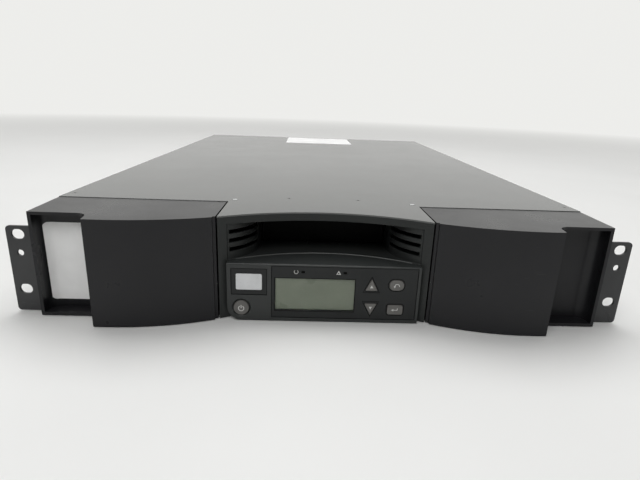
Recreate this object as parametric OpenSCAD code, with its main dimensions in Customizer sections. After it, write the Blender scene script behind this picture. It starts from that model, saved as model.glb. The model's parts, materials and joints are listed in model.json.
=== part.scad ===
// Rack-mounted tape library: two slide-out cartridge magazines beside a centre column that
// holds the operator panel, the mail slot, a turning cartridge picker and the tape drive.
// Every module is drawn in rack coordinates: X to the right, Y from the front face of the rack
// ears towards the back, Z up from the underside. The last lines move the origin to the middle
// of the underside.

/* [Chassis] */
// Space between a magazine and the outside of the box
mag_side = 7; // [6:0.5:9]
// Height of the space above the upper row of cartridges, with the cover
head_room = 8.3; // [8:0.1:10]
// Depth of the space behind the gears that drive the magazines
rear_space = 76.8; // [74:0.4:100]
// Distance from the rack plane to the seam behind the magazine bezels
cover_front = 46.5; // [40:0.5:50]
// Thickness of the pan and the cover
sheet_t = 1.2; // [0.8:0.1:1.5]

/* [Rack ears] */
// Width of an ear beside the box
ear_w = 18.2; // [17:0.1:20]
// Height of an ear above the middle of its upper slot
ear_top = 6.6; // [5.5:0.1:9]
// Thickness of the ear's steel
ear_t = 2; // [1.5:0.1:2]
// Length of the leg that lies along the side of the box
ear_leg = 96; // [80:1:140]
// Distance from an ear's outer edge to the middle of its rack holes
hole_edge = 8.65; // [8:0.05:9.5]
// Height of the lower slot above the underside
hole_low = 19.2; // [17:0.1:21]
// Distance between the lower and the upper slot
hole_pitch = 44.45; // [44.45:0.05:44.5]
// Drop from the upper slot to the small hole
hole_drop = 14.8; // [14:0.1:18]
// Length of a slot
slot_l = 9.6; // [9:0.1:11]
// Height of a slot
slot_w = 7.9; // [6.5:0.1:8]
// Diameter of the small hole
small_hole_d = 5; // [4:0.1:6]

/* [Front] */
// Width of the flat rim beside a cheek of the mail slot
rim_w = 6.5; // [6:0.1:8]
// Gap between the centre column and a magazine bezel
seam_gap = 1.4; // [0.8:0.1:1.8]
// How far the middle of the centre bezel lies behind the rack plane
centre_dip = 15.5; // [12:0.5:18]
// How far the rims of the centre bezel stand in front of the rack plane
rim_proud = 6.5; // [4:0.5:8]
// Radius of the bulging front of a magazine bezel
door_r = 193.6; // [180:0.2:210]
// How far the bulge stands in front of the rack plane
door_proud = 24.6; // [20:0.2:28]
// Distance from the crown of the bulge to its outer edge
crown_edge = 10.4; // [6:0.2:18]
// Distance from the outer edge of the bulge to the side of the box
grip_w = 50.6; // [45:0.2:56]
// Distance from the rack plane to the back of the finger recess
grip_depth = 5; // [2:0.5:10]
// How far the lips beside the bulge stand in front of the rack plane
lip_proud = 7; // [5:0.2:9]
// Wall of the front mouldings
wall = 2.5; // [2:0.1:3]
// Clearance under the front mouldings
bezel_lift = 0.5; // [0.2:0.1:1]

/* [Mail slot] */
// Clearance beside and under a cartridge in the mail slot
throat_gap = 1.1; // [0.8:0.1:1.5]
// Height of the brow above the mail slot
brow_h = 7; // [6:0.1:8]
// Width of a curved cheek beside the throat
cheek_w = 20.9; // [19:0.1:23]
// Distance from the rack plane to the mail slot's flap
mail_depth = 51.5; // [50:0.5:53]
// Radius of the curved cheeks beside the throat
cheek_r = 39; // [36:0.5:42]
// Height of one vent slot
vent_h = 3.3; // [2.5:0.1:4]
// Distance between vent slots
vent_pitch = 7; // [6.5:0.1:7.2]

/* [Operator panel] */
// Distance from the side of the panel housing to the side of the centre column
panel_margin = 6.3; // [6:0.1:9]
// Drop from the mail slot's floor to the top of the panel's face
panel_drop = 0.8; // [0.5:0.1:2]
// How far the panel's face stands in front of the rack plane
panel_proud = 8; // [7:0.2:10]
// Radius of the panel's lower left corner
panel_corner = 8; // [5:0.5:10]
// Width of the panel's face to the left of the display
badge_zone = 37.3; // [36:0.1:42]
// Width of the panel's face to the right of the display
key_zone = 51.2; // [50:0.1:56]
// Height of the panel's face under the display
strip_h = 9.2; // [9:0.1:13]
// Height of the panel's face above the display
lights_h = 11.4; // [9:0.1:12]
// How far a key travels
key_travel = 0.8; // [0.4:0.1:1]
// Gap round a key
key_gap = 0.35; // [0.25:0.05:0.5]

/* [Magazines] */
// Width of a tape cartridge
cartridge_w = 105.8; // [104:0.1:106]
// Length of a tape cartridge
cartridge_l = 105.4; // [104:0.1:106]
// Thickness of a tape cartridge
cartridge_t = 25.4; // [24:0.1:25.4]
// Gap between two carriers of a row
cell_gap = 8.6; // [7:0.1:12]
// Number of cartridges in a row
cells = 4; // [2:1:4]
// Radius at which the belt carries the cartridges round its pulleys
belt_r = 20.9; // [20.5:0.1:21.5]
// Height of the underside of the lower row of cartridges
row_low = 8; // [7.5:0.1:9]

/* [Hidden] */
$fn = 96;

fit = 0.1;          // running clearance round a shaft
seat = 0.3;         // clearance between pieces that lie beside each other
big = 400;          // longer than any cut has to be

// Widths, from the cartridge outwards
mail_half = cartridge_w / 2 + throat_gap;
centre_half = mail_half + cheek_w + rim_w;
panel_w = 2 * (centre_half - panel_margin);
door_in = centre_half + seam_gap;
mag_wall = 2;
train_gap = 1.2;    // between a magazine's inner wall and its gear train
train_t = 5;
inner_gap = 4.5;    // between the gear train and the cartridges
outer_gap = 0.7;    // between the cartridges and the belt
belt_w = 6;
belt_gap = 2;       // between the belt and the outer wall
mag_in = door_in + 4;
train_x = mag_in + mag_wall + train_gap;
mag_mid = train_x + train_t + inner_gap + cartridge_w / 2;
belt_x = mag_mid + cartridge_w / 2 + outer_gap;
mag_out = belt_x + belt_w + belt_gap + mag_wall;
chassis_w = 2 * (mag_out + mag_side);
ear_span = chassis_w + 2 * ear_w;
hole_span = ear_span - 2 * hole_edge;

// Heights, from the lower row upwards
upper_z = row_low + 2 * belt_r;        // underside of the upper row's cartridges
lower_z = row_low;
mail_floor = upper_z - throat_gap - 0.2;
chassis_h = upper_z + cartridge_t + head_room;
mail_top = chassis_h - brow_h;
belt_mid = (upper_z + lower_z + cartridge_t) / 2;
ear_z = 0.85;
ear_h = hole_low + hole_pitch + ear_top - ear_z;

// Depths, from the cell that the picker faces backwards
first_cell = 158;
carrier_t = 2;
carrier_l = cartridge_l + 6;
cell_pitch = carrier_l + cell_gap;
row_mid = first_cell + cell_pitch * (cells - 1) / 2;
loop_half = (cell_pitch * cells * 2 - 2 * PI * belt_r) / 4;
pulley_front = row_mid - loop_half;
pulley_back = row_mid + loop_half;
mag_front = cover_front + 1.5;
mag_back = pulley_back + belt_r + cartridge_l / 2 + 3;
motor_r = 10;
motor_gap = 1.4;    // between a magazine and the motor behind it
drive_gear_y = mag_back + motor_gap + motor_r;
train_teeth = 24;
drive_teeth = 16;
train_module = (drive_gear_y - pulley_back) / (train_teeth + (train_teeth + drive_teeth) / 2);
idler_y = pulley_back + train_module * train_teeth;
chassis_back = drive_gear_y + rear_space;

// Front
door_edge_x = chassis_w / 2 - grip_w;
door_crown_x = door_edge_x - crown_edge;
door_centre_y = door_r - door_proud;
centre_rise = centre_dip + rim_proud;
centre_r = (pow(centre_rise, 2) + pow(centre_half, 2)) / (2 * centre_rise);   // of its hollow front
centre_arc_y = centre_dip - centre_r;
bezel_top = chassis_h;
bezel_side_front = chassis_w / 2 - 3.7;
bezel_side_back = chassis_w / 2 - 0.3;
bezel_back = cover_front - 0.5;
grip_fillet = 10;
grip_corner = 8;
strip_w = 2;        // set-back strip along the inner edge of a magazine bezel
strip_back = 2;
grip_undercut = 14; // how far the finger recess reaches in behind the bulge

// Mail slot
cheek_x = mail_half + cheek_r;
cheek_y = 32.5;
cheek_rim = mail_half + cheek_w;       // where a cheek meets the front face
cheek_steps = 18;
vent_in = mail_half + 0.8;
vent_out = mail_half + 19.6;
vents = 3;
vent_low = mail_floor + 7.7;
flap_t = 2;
flap_h = mail_top - mail_floor - 2 * seat;
flap_pin_r = 1.5;
tab_half = 13;      // half width of the tab at the flap's foot
tab_deep = 6;

// Operator panel, in its own front view: the middle of the column and the underside
panel_y = -panel_proud;
panel_low = bezel_lift;
panel_h = mail_floor - panel_drop - panel_low;
panel_rise = 4.4;   // slope of the panel's top, in degrees
panel_left = -panel_w / 2;
panel_right = panel_w / 2;
display_w = panel_w - badge_zone - key_zone;
display_h = panel_h - strip_h - lights_h;
overlay_x0 = panel_left + badge_zone - 3.2;
overlay_x1 = panel_right - 2;
overlay_z0 = panel_low + 2.5;
overlay_z1 = panel_low + panel_h - 1.3;
overlay_in = 0.9;
overlay_t = 0.6;
display_x = panel_left + badge_zone + display_w / 2;
display_z = panel_low + strip_h + display_h / 2;
badge_x = panel_left + 17;
badge_z = panel_low + panel_h - 14.9;
badge_frame = [28, 22];
badge_size = [20, 13.2];
lights = [for (x = [-9.5, 22.9]) [display_x + x, panel_low + panel_h - 6]];
power_at = [panel_left + 10.9, panel_low + 10.5];
power_r = 6;
key_x = panel_right - 38.1;
key_x2 = panel_right - 18.5;
key_z = panel_low + panel_h - 15.1;
key_z2 = panel_low + 11.4;
triangle_side = 9.6;
key_foot = 1.2;     // flange that keeps a key behind the panel
key_back = panel_y + 5.6;
board_y = panel_y + 6.8;
board_t = 1.6;

// Magazines, drawn for the right-hand side
mag_low = 3;
mag_top = chassis_h - 4;
belt_t = 1.6;
shaft_r = 3;

// Centre column
bay_wall_x = door_in + 0.4;
bay_wall_t = 1;
turn_y = first_cell;
turn_r = bay_wall_x - 9.2;
deck_z = upper_z - 2.8;
deck_t = 3;
post_r = 10;
hub_low = 12;
gear_module = turn_r / 37;
ring_teeth = 48;
pinion_teeth = 16;
gear_z = deck_z - deck_t - 6;
gear_t = 5;
pinion_angle = 45;
pinion_reach = gear_module * (ring_teeth + pinion_teeth) / 2;
drive_half = centre_half - 8.4;
drive_front = turn_y + turn_r + 8;
drive_l = 210;
rear_in = chassis_back - sheet_t;

// Position of the frame's origin
front_reach = -door_proud;
rear_reach = chassis_back + 8;
mid_y = (front_reach + rear_reach) / 2;

// ---------------------------------------------------------------- shared shapes

// Flat shape with rounded corners, centred
module round_rect(w, h, r) {
    square([w - 2 * r, h], center = true);
    square([w, h - 2 * r], center = true);
    for (sx = [-1, 1], sy = [-1, 1])
        translate([sx * (w / 2 - r), sy * (h / 2 - r)]) circle(r = r);
}

// Slot with round ends, lying along X
module slot(l, w) {
    square([l - w, w], center = true);
    for (s = [-1, 1]) translate([s * (l - w) / 2, 0]) circle(d = w);
}

// Stands a flat shape up to face the front, filling y0 to y0 + t
module facing(y0, t) {
    translate([0, y0 + t, 0]) rotate([90, 0, 0]) linear_extrude(t) children();
}

// Stands a flat shape up across X: its own X runs along Y, filling x0 to x0 + t
module sideways(x0, t) {
    translate([x0, 0, 0]) rotate([90, 0, 90]) linear_extrude(t) children();
}

module box(x0, x1, y0, y1, z0, z1) {
    translate([x0, y0, z0]) cube([x1 - x0, y1 - y0, z1 - z0]);
}

// Rod along X, Y or Z, starting at a point
module rod_x(p, l, r) { translate(p) rotate([0, 90, 0]) cylinder(h = l, r = r); }
module rod_y(p, l, r) { translate(p) rotate([-90, 0, 0]) cylinder(h = l, r = r); }

// Shows right-hand pieces as they are, and mirrors them for the left-hand side
module on_side(left) {
    if (left) mirror([1, 0, 0]) children();
    else children();
}

// Outline of a spur gear with involute flanks, a little thinner than its pitch for backlash
function involute(rb, t) = [rb * (cos(t) + t * PI / 180 * sin(t)), rb * (sin(t) - t * PI / 180 * cos(t))];
function turned(p, a) = [p[0] * cos(a) - p[1] * sin(a), p[0] * sin(a) + p[1] * cos(a)];
function gear_outline(teeth, m, slack = 0.12, steps = 3) =
    let (rp = m * teeth / 2, rb = rp * cos(20), ra = rp + 0.9 * m, rr = rp - 1.2 * m,
         at_pitch = sqrt(pow(rp / rb, 2) - 1) * 180 / PI,
         tip = sqrt(pow(ra / rb, 2) - 1) * 180 / PI,
         root = rr > rb ? sqrt(pow(rr / rb, 2) - 1) * 180 / PI : 0,
         pitch_turn = at_pitch - atan(at_pitch * PI / 180),
         half = 90 / teeth - slack / rp * 180 / PI / 2)
    [for (i = [0 : teeth - 1])
        let (a = i * 360 / teeth,
             up = [for (k = [0 : steps]) involute(rb, root + (tip - root) * k / steps)])
        each concat(
            rr > rb ? [] : [turned([rr, 0], a - half - pitch_turn)],
            [for (p = up) turned(p, a - half - pitch_turn)],
            [for (k = [steps : -1 : 0]) turned([up[k][0], -up[k][1]], a + half + pitch_turn)],
            rr > rb ? [] : [turned([rr, 0], a + half + pitch_turn)])];

// ---------------------------------------------------------------- chassis

screw_r = 2.6;
screw_sink = 0.8;
screw_spots = [[30.7, cover_front + 18.1], [centre_half - 2.4, cover_front + 324.5],
    [chassis_w / 2 - 6.2, cover_front + 15], [chassis_w / 2 - 23, chassis_back - 50],
    [centre_half - 2.4, chassis_back - 20]];
rivet_spot = [centre_half - 4.4, cover_front + 7];
ear_screw_spots = [for (y = [cover_front + 12, cover_front + 40], z = [ear_z + 12, ear_z + ear_h - 12])
    [y, z]];

module both_sides(p, z) for (s = [-1, 1]) translate([s * p[0], p[1], z]) children();

// Plan of the cover: the lid of the box, and a tongue that reaches the centre bezel's brow
module cover_plan() {
    translate([-chassis_w / 2, cover_front])
        square([chassis_w, chassis_back - cover_front]);
    difference() {
        translate([-centre_half, -20]) square([2 * centre_half, cover_front + 21]);
        translate([0, centre_arc_y]) circle(r = centre_r, $fn = 240);
    }
}

module top_cover() {
    color([0.22, 0.23, 0.24]) difference() {
        union() {
            translate([0, 0, chassis_h - sheet_t]) linear_extrude(sheet_t) cover_plan();
            for (s = [-1, 1])
                box(s > 0 ? chassis_w / 2 - 2 * sheet_t - seat : -chassis_w / 2 + sheet_t + seat,
                    s > 0 ? chassis_w / 2 - sheet_t - seat : -chassis_w / 2 + 2 * sheet_t + seat,
                    cover_front + 2, rear_in - 2, chassis_h - 11, chassis_h - sheet_t);
        }
        for (p = screw_spots) both_sides(p, chassis_h - screw_sink)
            cylinder(h = 2, r = screw_r + fit);
        both_sides(rivet_spot, chassis_h - screw_sink) cylinder(h = 2, r = 2.2 + fit);
    }
}

module cover_screws() {
    color([0.12, 0.12, 0.12]) for (p = screw_spots) both_sides(p, chassis_h - screw_sink)
        difference() {
            cylinder(h = screw_sink, r = screw_r);
            translate([0, 0, 0.3]) for (a = [0, 90]) rotate([0, 0, a])
                cube([2.6, 0.7, 2], center = true);
        }
}

module cover_rivets() {
    color([0.75, 0.76, 0.77]) both_sides(rivet_spot, chassis_h - screw_sink)
        cylinder(h = screw_sink + 0.2, r1 = 2.2, r2 = 1.9);
}

// Openings in the back of the pan for the three modules
supply_x = [-chassis_w / 2 + 6, -centre_half - 12];
sled_x = [-centre_half + 4, centre_half - 4];
card_x = [centre_half + 12, chassis_w / 2 - 6];
module_low = 5;
module_top = chassis_h - 7;

module base_pan() {
    h = chassis_h - sheet_t;
    color([0.2, 0.21, 0.22]) difference() {
        union() {
            box(-chassis_w / 2, chassis_w / 2, cover_front, chassis_back, 0, sheet_t);
            box(-centre_half + 4, centre_half - 4, centre_dip + 4, cover_front + 1, 0, sheet_t);
            for (x = [-chassis_w / 2, chassis_w / 2 - sheet_t])
                box(x, x + sheet_t, cover_front, chassis_back, 0, h);
            box(-chassis_w / 2, chassis_w / 2, rear_in, chassis_back, 0, h);
            // Folded edge that the cover's tongue and lid rest on
            for (s = [-1, 1])
                box(s * mag_mid - 30, s * mag_mid + 30, rear_in - 12, rear_in, h - sheet_t, h);
        }
        for (m = [supply_x, sled_x, card_x])
            box(m[0], m[1], rear_in - 1, chassis_back + 1, module_low, module_top);
        // Tapped holes for the ears
        for (s = [-1, 1], p = ear_screw_spots)
            rod_x([s > 0 ? chassis_w / 2 - sheet_t - 1 : -chassis_w / 2 - 1, p[0], p[1]],
                sheet_t + 2, 1.6);
    }
}

// Angle bracket: a flange with the rack holes, and a leg along the side of the box
module rack_ear(left) {
    inner = chassis_w / 2;
    outer = ear_span / 2;
    color([0.16, 0.16, 0.17]) on_side(left) difference() {
        union() {
            facing(0, ear_t) difference() {
                union() {
                    translate([(inner + outer) / 2 - 2, ear_z + ear_h / 2])
                        round_rect(outer - inner + 4, ear_h, 3);
                    translate([inner, ear_z]) square([6, ear_h]);
                }
                translate([inner - 10, ear_z - 1]) square([10, ear_h + 2]);
            }
            box(inner, inner + ear_t, 0, ear_leg, ear_z, ear_z + ear_h);
        }
        for (z = [hole_low, hole_low + hole_pitch])
            facing(-1, ear_t + 2) translate([hole_span / 2, z]) slot(slot_l, slot_w);
        rod_y([hole_span / 2, -1, hole_low + hole_pitch - hole_drop], ear_t + 2, small_hole_d / 2);
        for (p = ear_screw_spots) {
            rod_x([inner - 1, p[0], p[1]], ear_t + 2, 2.2);
            translate([inner + ear_t - 1.2, p[0], p[1]]) rotate([0, 90, 0])
                cylinder(h = 1.21, r1 = 2.2, r2 = 4.2);
        }
    }
}

module ear_screws() {
    color([0.1, 0.1, 0.1]) for (s = [0, 1]) on_side(s == 1) for (p = ear_screw_spots)
        translate([chassis_w / 2, p[0], p[1]]) rotate([0, 90, 0]) difference() {
            union() {
                translate([0, 0, -4]) cylinder(h = 4 + ear_t - 1, r = 1.5);
                translate([0, 0, ear_t - 1.1]) cylinder(h = 1, r1 = 2, r2 = 3.9);
            }
            translate([0, 0, ear_t]) for (a = [0, 90]) rotate([0, 0, a])
                cube([4.4, 0.8, 1.4], center = true);
        }
}

// ---------------------------------------------------------------- centre bezel and mail slot

// Plan of the centre column behind its hollow front
module centre_plan(half, back, inset = 0) {
    difference() {
        translate([-half, -20]) square([2 * half, back + 20]);
        translate([0, centre_arc_y]) circle(r = centre_r + inset, $fn = 240);
    }
}

// Plan of the mail slot: its cheeks roll back from the front face into the throat
module throat_plan() {
    sweep = acos((cheek_x - cheek_rim) / cheek_r);
    right = [for (i = [0 : cheek_steps]) cheek_point(cheek_r, sweep * i / cheek_steps)];
    left = [for (i = [cheek_steps : -1 : 0]) [-right[i][0], right[i][1]]];
    polygon(concat([[mail_half, mail_depth + 1]], right, [[cheek_rim, -20], [-cheek_rim, -20]],
        left, [[-mail_half, mail_depth + 1]]));
}

function cheek_point(r, a) = [cheek_x - r * cos(a), cheek_y - r * sin(a)];

// Plan of the hollow behind a cheek, open at the back
module cheek_hollow() {
    r = cheek_r - wall;
    side = centre_half - wall;
    sweep = acos((cheek_x - side) / r);
    polygon(concat([[mail_half + wall, mail_depth + 1]],
        [for (i = [0 : cheek_steps]) cheek_point(r, sweep * i / cheek_steps)],
        [[side, mail_depth + 1]]));
}

module centre_bezel() {
    top = chassis_h - sheet_t;
    color([0.2, 0.22, 0.23]) difference() {
        translate([0, 0, bezel_lift]) linear_extrude(top - bezel_lift) centre_plan(centre_half, mail_depth);
        translate([0, 0, mail_floor]) linear_extrude(mail_top - mail_floor) throat_plan();
        for (s = [0, 1]) on_side(s == 1) {
            translate([0, 0, mail_floor + wall]) linear_extrude(mail_top - mail_floor - 2 * wall)
                cheek_hollow();
            for (i = [0 : vents - 1])
                box(vent_in, vent_out, -10, cheek_y, vent_low + i * vent_pitch - vent_h / 2,
                    vent_low + i * vent_pitch + vent_h / 2);
        }
        // Hollow behind the operator panel, open underneath
        translate([0, 0, bezel_lift - 1]) linear_extrude(mail_floor - wall - bezel_lift + 1)
            centre_plan(centre_half - wall, mail_depth + 1, wall);
        // Step over the floor of the pan
        box(-centre_half - 1, centre_half + 1, cover_front - seat, mail_depth + 1, -1, sheet_t + seat);
        // Notch for the flap's tab
        box(-tab_half - seat, tab_half + seat, mail_depth - tab_deep, mail_depth + 1,
            mail_floor - wall - 1, mail_floor + 1);
    }
}

module mail_slot_flap() {
    hinge_z = mail_top - 3;
    color([0.05, 0.05, 0.05]) difference() {
        union() {
            facing(mail_depth + seat, flap_t) translate([0, mail_floor + seat + flap_h / 2])
                round_rect(2 * mail_half - 2, flap_h, 1);
            rod_x([-mail_half + 1, mail_depth + seat + flap_t, hinge_z], 2 * mail_half - 2, 3);
            box(-tab_half, tab_half, mail_depth - tab_deep + 1.5 * seat, mail_depth + seat + flap_t,
                mail_floor - 1.6, mail_floor + 1);
        }
        rod_x([-mail_half, mail_depth + seat + flap_t, hinge_z], 2 * mail_half, flap_pin_r + fit);
    }
}

module flap_pin() {
    color([0.7, 0.7, 0.7])
        rod_x([-bay_wall_x - bay_wall_t, mail_depth + seat + flap_t, mail_top - 3],
            2 * (bay_wall_x + bay_wall_t), flap_pin_r);
}

// ---------------------------------------------------------------- operator panel

module panel_outline(inset = 0) {
    w = panel_w / 2 - inset;
    h = panel_h - inset;
    r = panel_corner - inset;
    translate([0, panel_low]) {
        translate([-w, inset + r]) square([r, h - inset - r + 6]);
        translate([-w + r, inset]) square([2 * w - r, h - inset + 6]);
        translate([-w + r, inset + r]) circle(r = r);
    }
}

// Flat outline of a key, by its name
module key_shape(name, gap = 0) {
    side = triangle_side + 3.4 * gap;
    if (name == "power") translate(power_at) circle(r = power_r + gap);
    if (name == "up") translate([key_x, key_z]) triangle(side);
    if (name == "down") translate([key_x, key_z2]) rotate(180) triangle(side);
    if (name == "cancel") translate([key_x2, key_z]) slot(11.7 + 2 * gap, 8.7 + 2 * gap);
    if (name == "enter") translate([key_x2, key_z2]) round_rect(12.4 + 2 * gap, 8.1 + 2 * gap, 1.8);
}

module triangle(side) {
    h = side;
    polygon([[-side / 2, -h / 2], [side / 2, -h / 2], [0, h / 2]]);
}

KEYS = ["power", "up", "down", "cancel", "enter"];

module display_outline(gap = 0) {
    translate([display_x, display_z]) square([display_w + 2 * gap, display_h + 2 * gap], center = true);
}

module panel_housing() {
    slope = tan(panel_rise);
    color([0.21, 0.23, 0.24]) difference() {
        intersection() {
            facing(panel_y, 40) panel_outline();
            translate([0, centre_arc_y, 0]) cylinder(h = 80, r = centre_r - fit, $fn = 240);
        }
        // Sloping top
        translate([0, panel_y, panel_low + panel_h]) rotate([panel_rise, 0, 0])
            translate([-100, -20, 0]) cube([200, 80, 20]);
        // Hollow behind the face
        difference() {
            facing(panel_y + wall, 40) panel_outline(wall);
            translate([0, panel_y, panel_low + panel_h - wall]) rotate([panel_rise, 0, 0])
                translate([-100, -20, 0]) cube([200, 80, 20]);
        }
        // Recesses for the overlay and the badge
        box(overlay_x0, overlay_x1, panel_y - 1, panel_y + overlay_in, overlay_z0, overlay_z1);
        box(badge_x - badge_frame[0] / 2, badge_x + badge_frame[0] / 2, panel_y - 1, panel_y + 0.5,
            badge_z - badge_frame[1] / 2, badge_z + badge_frame[1] / 2);
        facing(panel_y - 1, 10) {
            for (k = KEYS) key_shape(k, key_gap);
            display_outline(fit);
            for (p = lights) translate(p) slot(3.2 + 2 * fit, 1.8 + 2 * fit);
        }
        // Dish round the power key
        translate([power_at[0], panel_y - 0.01, power_at[1]]) rotate([-90, 0, 0])
            cylinder(h = 0.8, r1 = power_r + 1.6, r2 = power_r + key_gap);
    }
}

module panel_overlay() {
    color([0.14, 0.15, 0.16]) facing(panel_y + overlay_in - overlay_t, overlay_t) difference() {
        translate([overlay_x0 + fit, overlay_z0 + fit])
            square([overlay_x1 - overlay_x0 - 2 * fit, overlay_z1 - overlay_z0 - 2 * fit]);
        for (k = KEYS) key_shape(k, key_gap);
        display_outline(fit);
        for (p = lights) translate(p) slot(3.2 + 2 * fit, 1.8 + 2 * fit);
    }
}

module display_window() {
    color([0.5, 0.55, 0.5, 0.4]) facing(panel_y + overlay_in, 1) display_outline();
}

module display_module() {
    y = panel_y + overlay_in + 1 + fit;
    color([0.45, 0.48, 0.42]) union() {
        facing(y, wall - overlay_in - 1) display_outline();
        facing(panel_y + wall + fit, board_y - panel_y - wall - 2 * fit) display_outline(3);
    }
}

module status_lights() {
    color([0.1, 0.25, 0.12]) for (p = lights)
        facing(panel_y + overlay_in - overlay_t, board_y - panel_y - overlay_in + overlay_t)
            translate(p) slot(3.2, 1.8);
}

module badge_plate() {
    color([0.72, 0.73, 0.74]) facing(panel_y - 0.1, 0.6) translate([badge_x, badge_z])
        round_rect(badge_size[0], badge_size[1], 1);
}

module panel_board() {
    color([0.1, 0.3, 0.15]) union() {
        facing(board_y, board_t) translate([-1, panel_low + panel_h / 2 + 0.4])
            square([panel_w - 16, panel_h - 6.2], center = true);
        for (p = [power_at, [key_x, key_z], [key_x, key_z2], [key_x2, key_z], [key_x2, key_z2]])
            rod_y([p[0], key_back + key_travel, p[1]], board_y - key_back - key_travel + 0.01, 2);
    }
}

// Key: a cap that stands out of the face, and a wider foot behind it
module key(name) {
    color([0.42, 0.41, 0.4]) union() {
        facing(panel_y - 0.7, key_back - panel_y + 0.7) key_shape(name);
        facing(key_back - 1.2, 1.2) key_shape(name, key_foot);
    }
}

// ---------------------------------------------------------------- magazine bezels

// Plan of a bezel: the bulge, the lip beside it and the blend between them
module bezel_plan() {
    tip_back = lip_proud + grip_fillet;
    tip_y = door_centre_y - sqrt(pow(door_r, 2) - pow(door_edge_x - door_crown_x, 2));
    intersection() {
        translate([door_in, -big / 2]) square([door_edge_x - door_in, big / 2 + bezel_back]);
        translate([door_crown_x, door_centre_y]) circle(r = door_r, $fn = 360);
    }
    polygon([[door_edge_x - 0.01, tip_y], [door_edge_x + 1.4, -tip_back], [door_edge_x + 1.4, bezel_back],
        [door_edge_x - 0.01, bezel_back]]);
    polygon([[door_edge_x, -lip_proud], [bezel_side_front, -lip_proud], [bezel_side_back, bezel_back],
        [door_edge_x, bezel_back]]);
    translate([door_edge_x + 1.39, -lip_proud]) difference() {
        translate([0, -grip_fillet]) square([grip_fillet, grip_fillet + 0.01]);
        translate([grip_fillet, -grip_fillet]) circle(r = grip_fillet);
    }
}

// Plan of the finger recess, which reaches in behind the bulge
module grip_plan() {
    x0 = door_edge_x - grip_undercut;
    side = bezel_side_front - wall;
    difference() {
        union() {
            intersection() {
                translate([x0, -big / 2]) square([door_edge_x - x0 + 0.01, big / 2 + grip_depth]);
                translate([door_crown_x, door_centre_y]) circle(r = door_r - wall, $fn = 360);
            }
            translate([door_edge_x, -40]) square([side - grip_corner - door_edge_x, 40 + grip_depth]);
            translate([door_edge_x, -40]) square([side - door_edge_x, 40 + grip_depth - grip_corner]);
            translate([side - grip_corner, grip_depth - grip_corner]) circle(r = grip_corner);
        }
        translate([x0 - 0.01, grip_depth - 3]) difference() {
            square([3, 3.01]);
            translate([3, 0]) circle(r = 3);
        }
    }
}

// Plan of the hollow behind the bulge and the recess, open at the back
module bezel_hollow() {
    x1 = door_edge_x - grip_undercut - wall;
    intersection() {
        translate([door_crown_x, door_centre_y]) circle(r = door_r - wall, $fn = 360);
        translate([door_in + strip_w + wall, -big / 2])
            square([x1 - door_in - strip_w - wall, big / 2 + bezel_back + 1]);
    }
    translate([x1 - 0.01, grip_depth + wall])
        square([bezel_side_front - wall - x1, bezel_back - wall - grip_depth + 1]);
}

module magazine_bezel(left) {
    color([0.19, 0.19, 0.2]) on_side(left) difference() {
        translate([0, 0, bezel_lift]) linear_extrude(bezel_top - bezel_lift) bezel_plan();
        translate([0, 0, bezel_lift + wall]) linear_extrude(bezel_top - bezel_lift - 2 * wall) {
            grip_plan();
            bezel_hollow();
        }
        // Set-back strip along the inner edge
        translate([0, 0, bezel_lift - 1]) linear_extrude(bezel_top + 2) difference() {
            translate([door_in - 1, -20]) square([strip_w + 1, 30]);
            translate([door_crown_x, door_centre_y]) circle(r = door_r - strip_back, $fn = 360);
        }
    }
}

// ---------------------------------------------------------------- magazines

cell_list = [for (i = [0 : cells - 1]) first_cell + i * cell_pitch];

module magazine_frame(left) {
    window_w = cell_pitch - 36;
    window_h = 20;
    color([0.13, 0.14, 0.15]) on_side(left) difference() {
        box(mag_in, mag_out, mag_front - 1.8, mag_back, mag_low, mag_top);
        box(mag_in + mag_wall, mag_out - mag_wall, mag_front + mag_wall, mag_back - mag_wall,
            mag_low + 1.5, mag_top + 1);
        for (y = cell_list) {
            // Windows in the outer wall, and lightening slots in the floor
            for (z = [upper_z, lower_z] + [cartridge_t / 2, cartridge_t / 2])
                sideways(mag_out - mag_wall - 1, mag_wall + 2) translate([y, z])
                    round_rect(window_w, window_h, 4);
            translate([mag_mid, y, mag_low - 1]) linear_extrude(3) for (s = [-1, 1])
                translate([s * 26, 0]) rotate(90) slot(window_w, 14);
            // Lower windows on the picker's side
            sideways(mag_in - 1, mag_wall + 2) translate([y, lower_z + cartridge_t / 2])
                round_rect(window_w, window_h, 4);
            if (y > first_cell) sideways(mag_in - 1, mag_wall + 2)
                translate([y, upper_z + cartridge_t / 2]) round_rect(window_w, window_h, 4);
        }
        // Gate through which the picker takes a cartridge
        box(mag_in - 1, mag_in + mag_wall + 1, first_cell - cartridge_l / 2 - 2.5,
            first_cell + cartridge_l / 2 + 2.5, upper_z - 1, mag_top + 1);
        // Bearings of the pulley shafts and of the idler gear
        for (y = [pulley_front, pulley_back])
            rod_x([mag_in - 1, y, belt_mid], mag_out - mag_in + 2, shaft_r + fit);
        rod_x([mag_in - 1, idler_y, belt_mid], mag_wall + 2, shaft_r + fit);
        // Slot through which the chassis gear meets the idler gear
        gear_tip = train_module * (drive_teeth / 2 + 0.9);
        reach = sqrt(pow(gear_tip, 2) - pow(drive_gear_y - mag_back, 2)) + 0.8;
        box(train_x - 1, train_x + train_t + 1, mag_back - mag_wall - 1, mag_back + 1,
            belt_mid - reach, belt_mid + reach);
    }
}

module magazine_lid(left) {
    color([0.3, 0.33, 0.36, 0.6]) on_side(left) translate([0, 0, mag_top]) linear_extrude(1.4)
        difference() {
            translate([mag_in, mag_front + 1]) square([mag_out - mag_in, mag_back - mag_front - 1]);
            for (y = cell_list) translate([mag_mid, y]) round_rect(70, 70, 6);
        }
}

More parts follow.
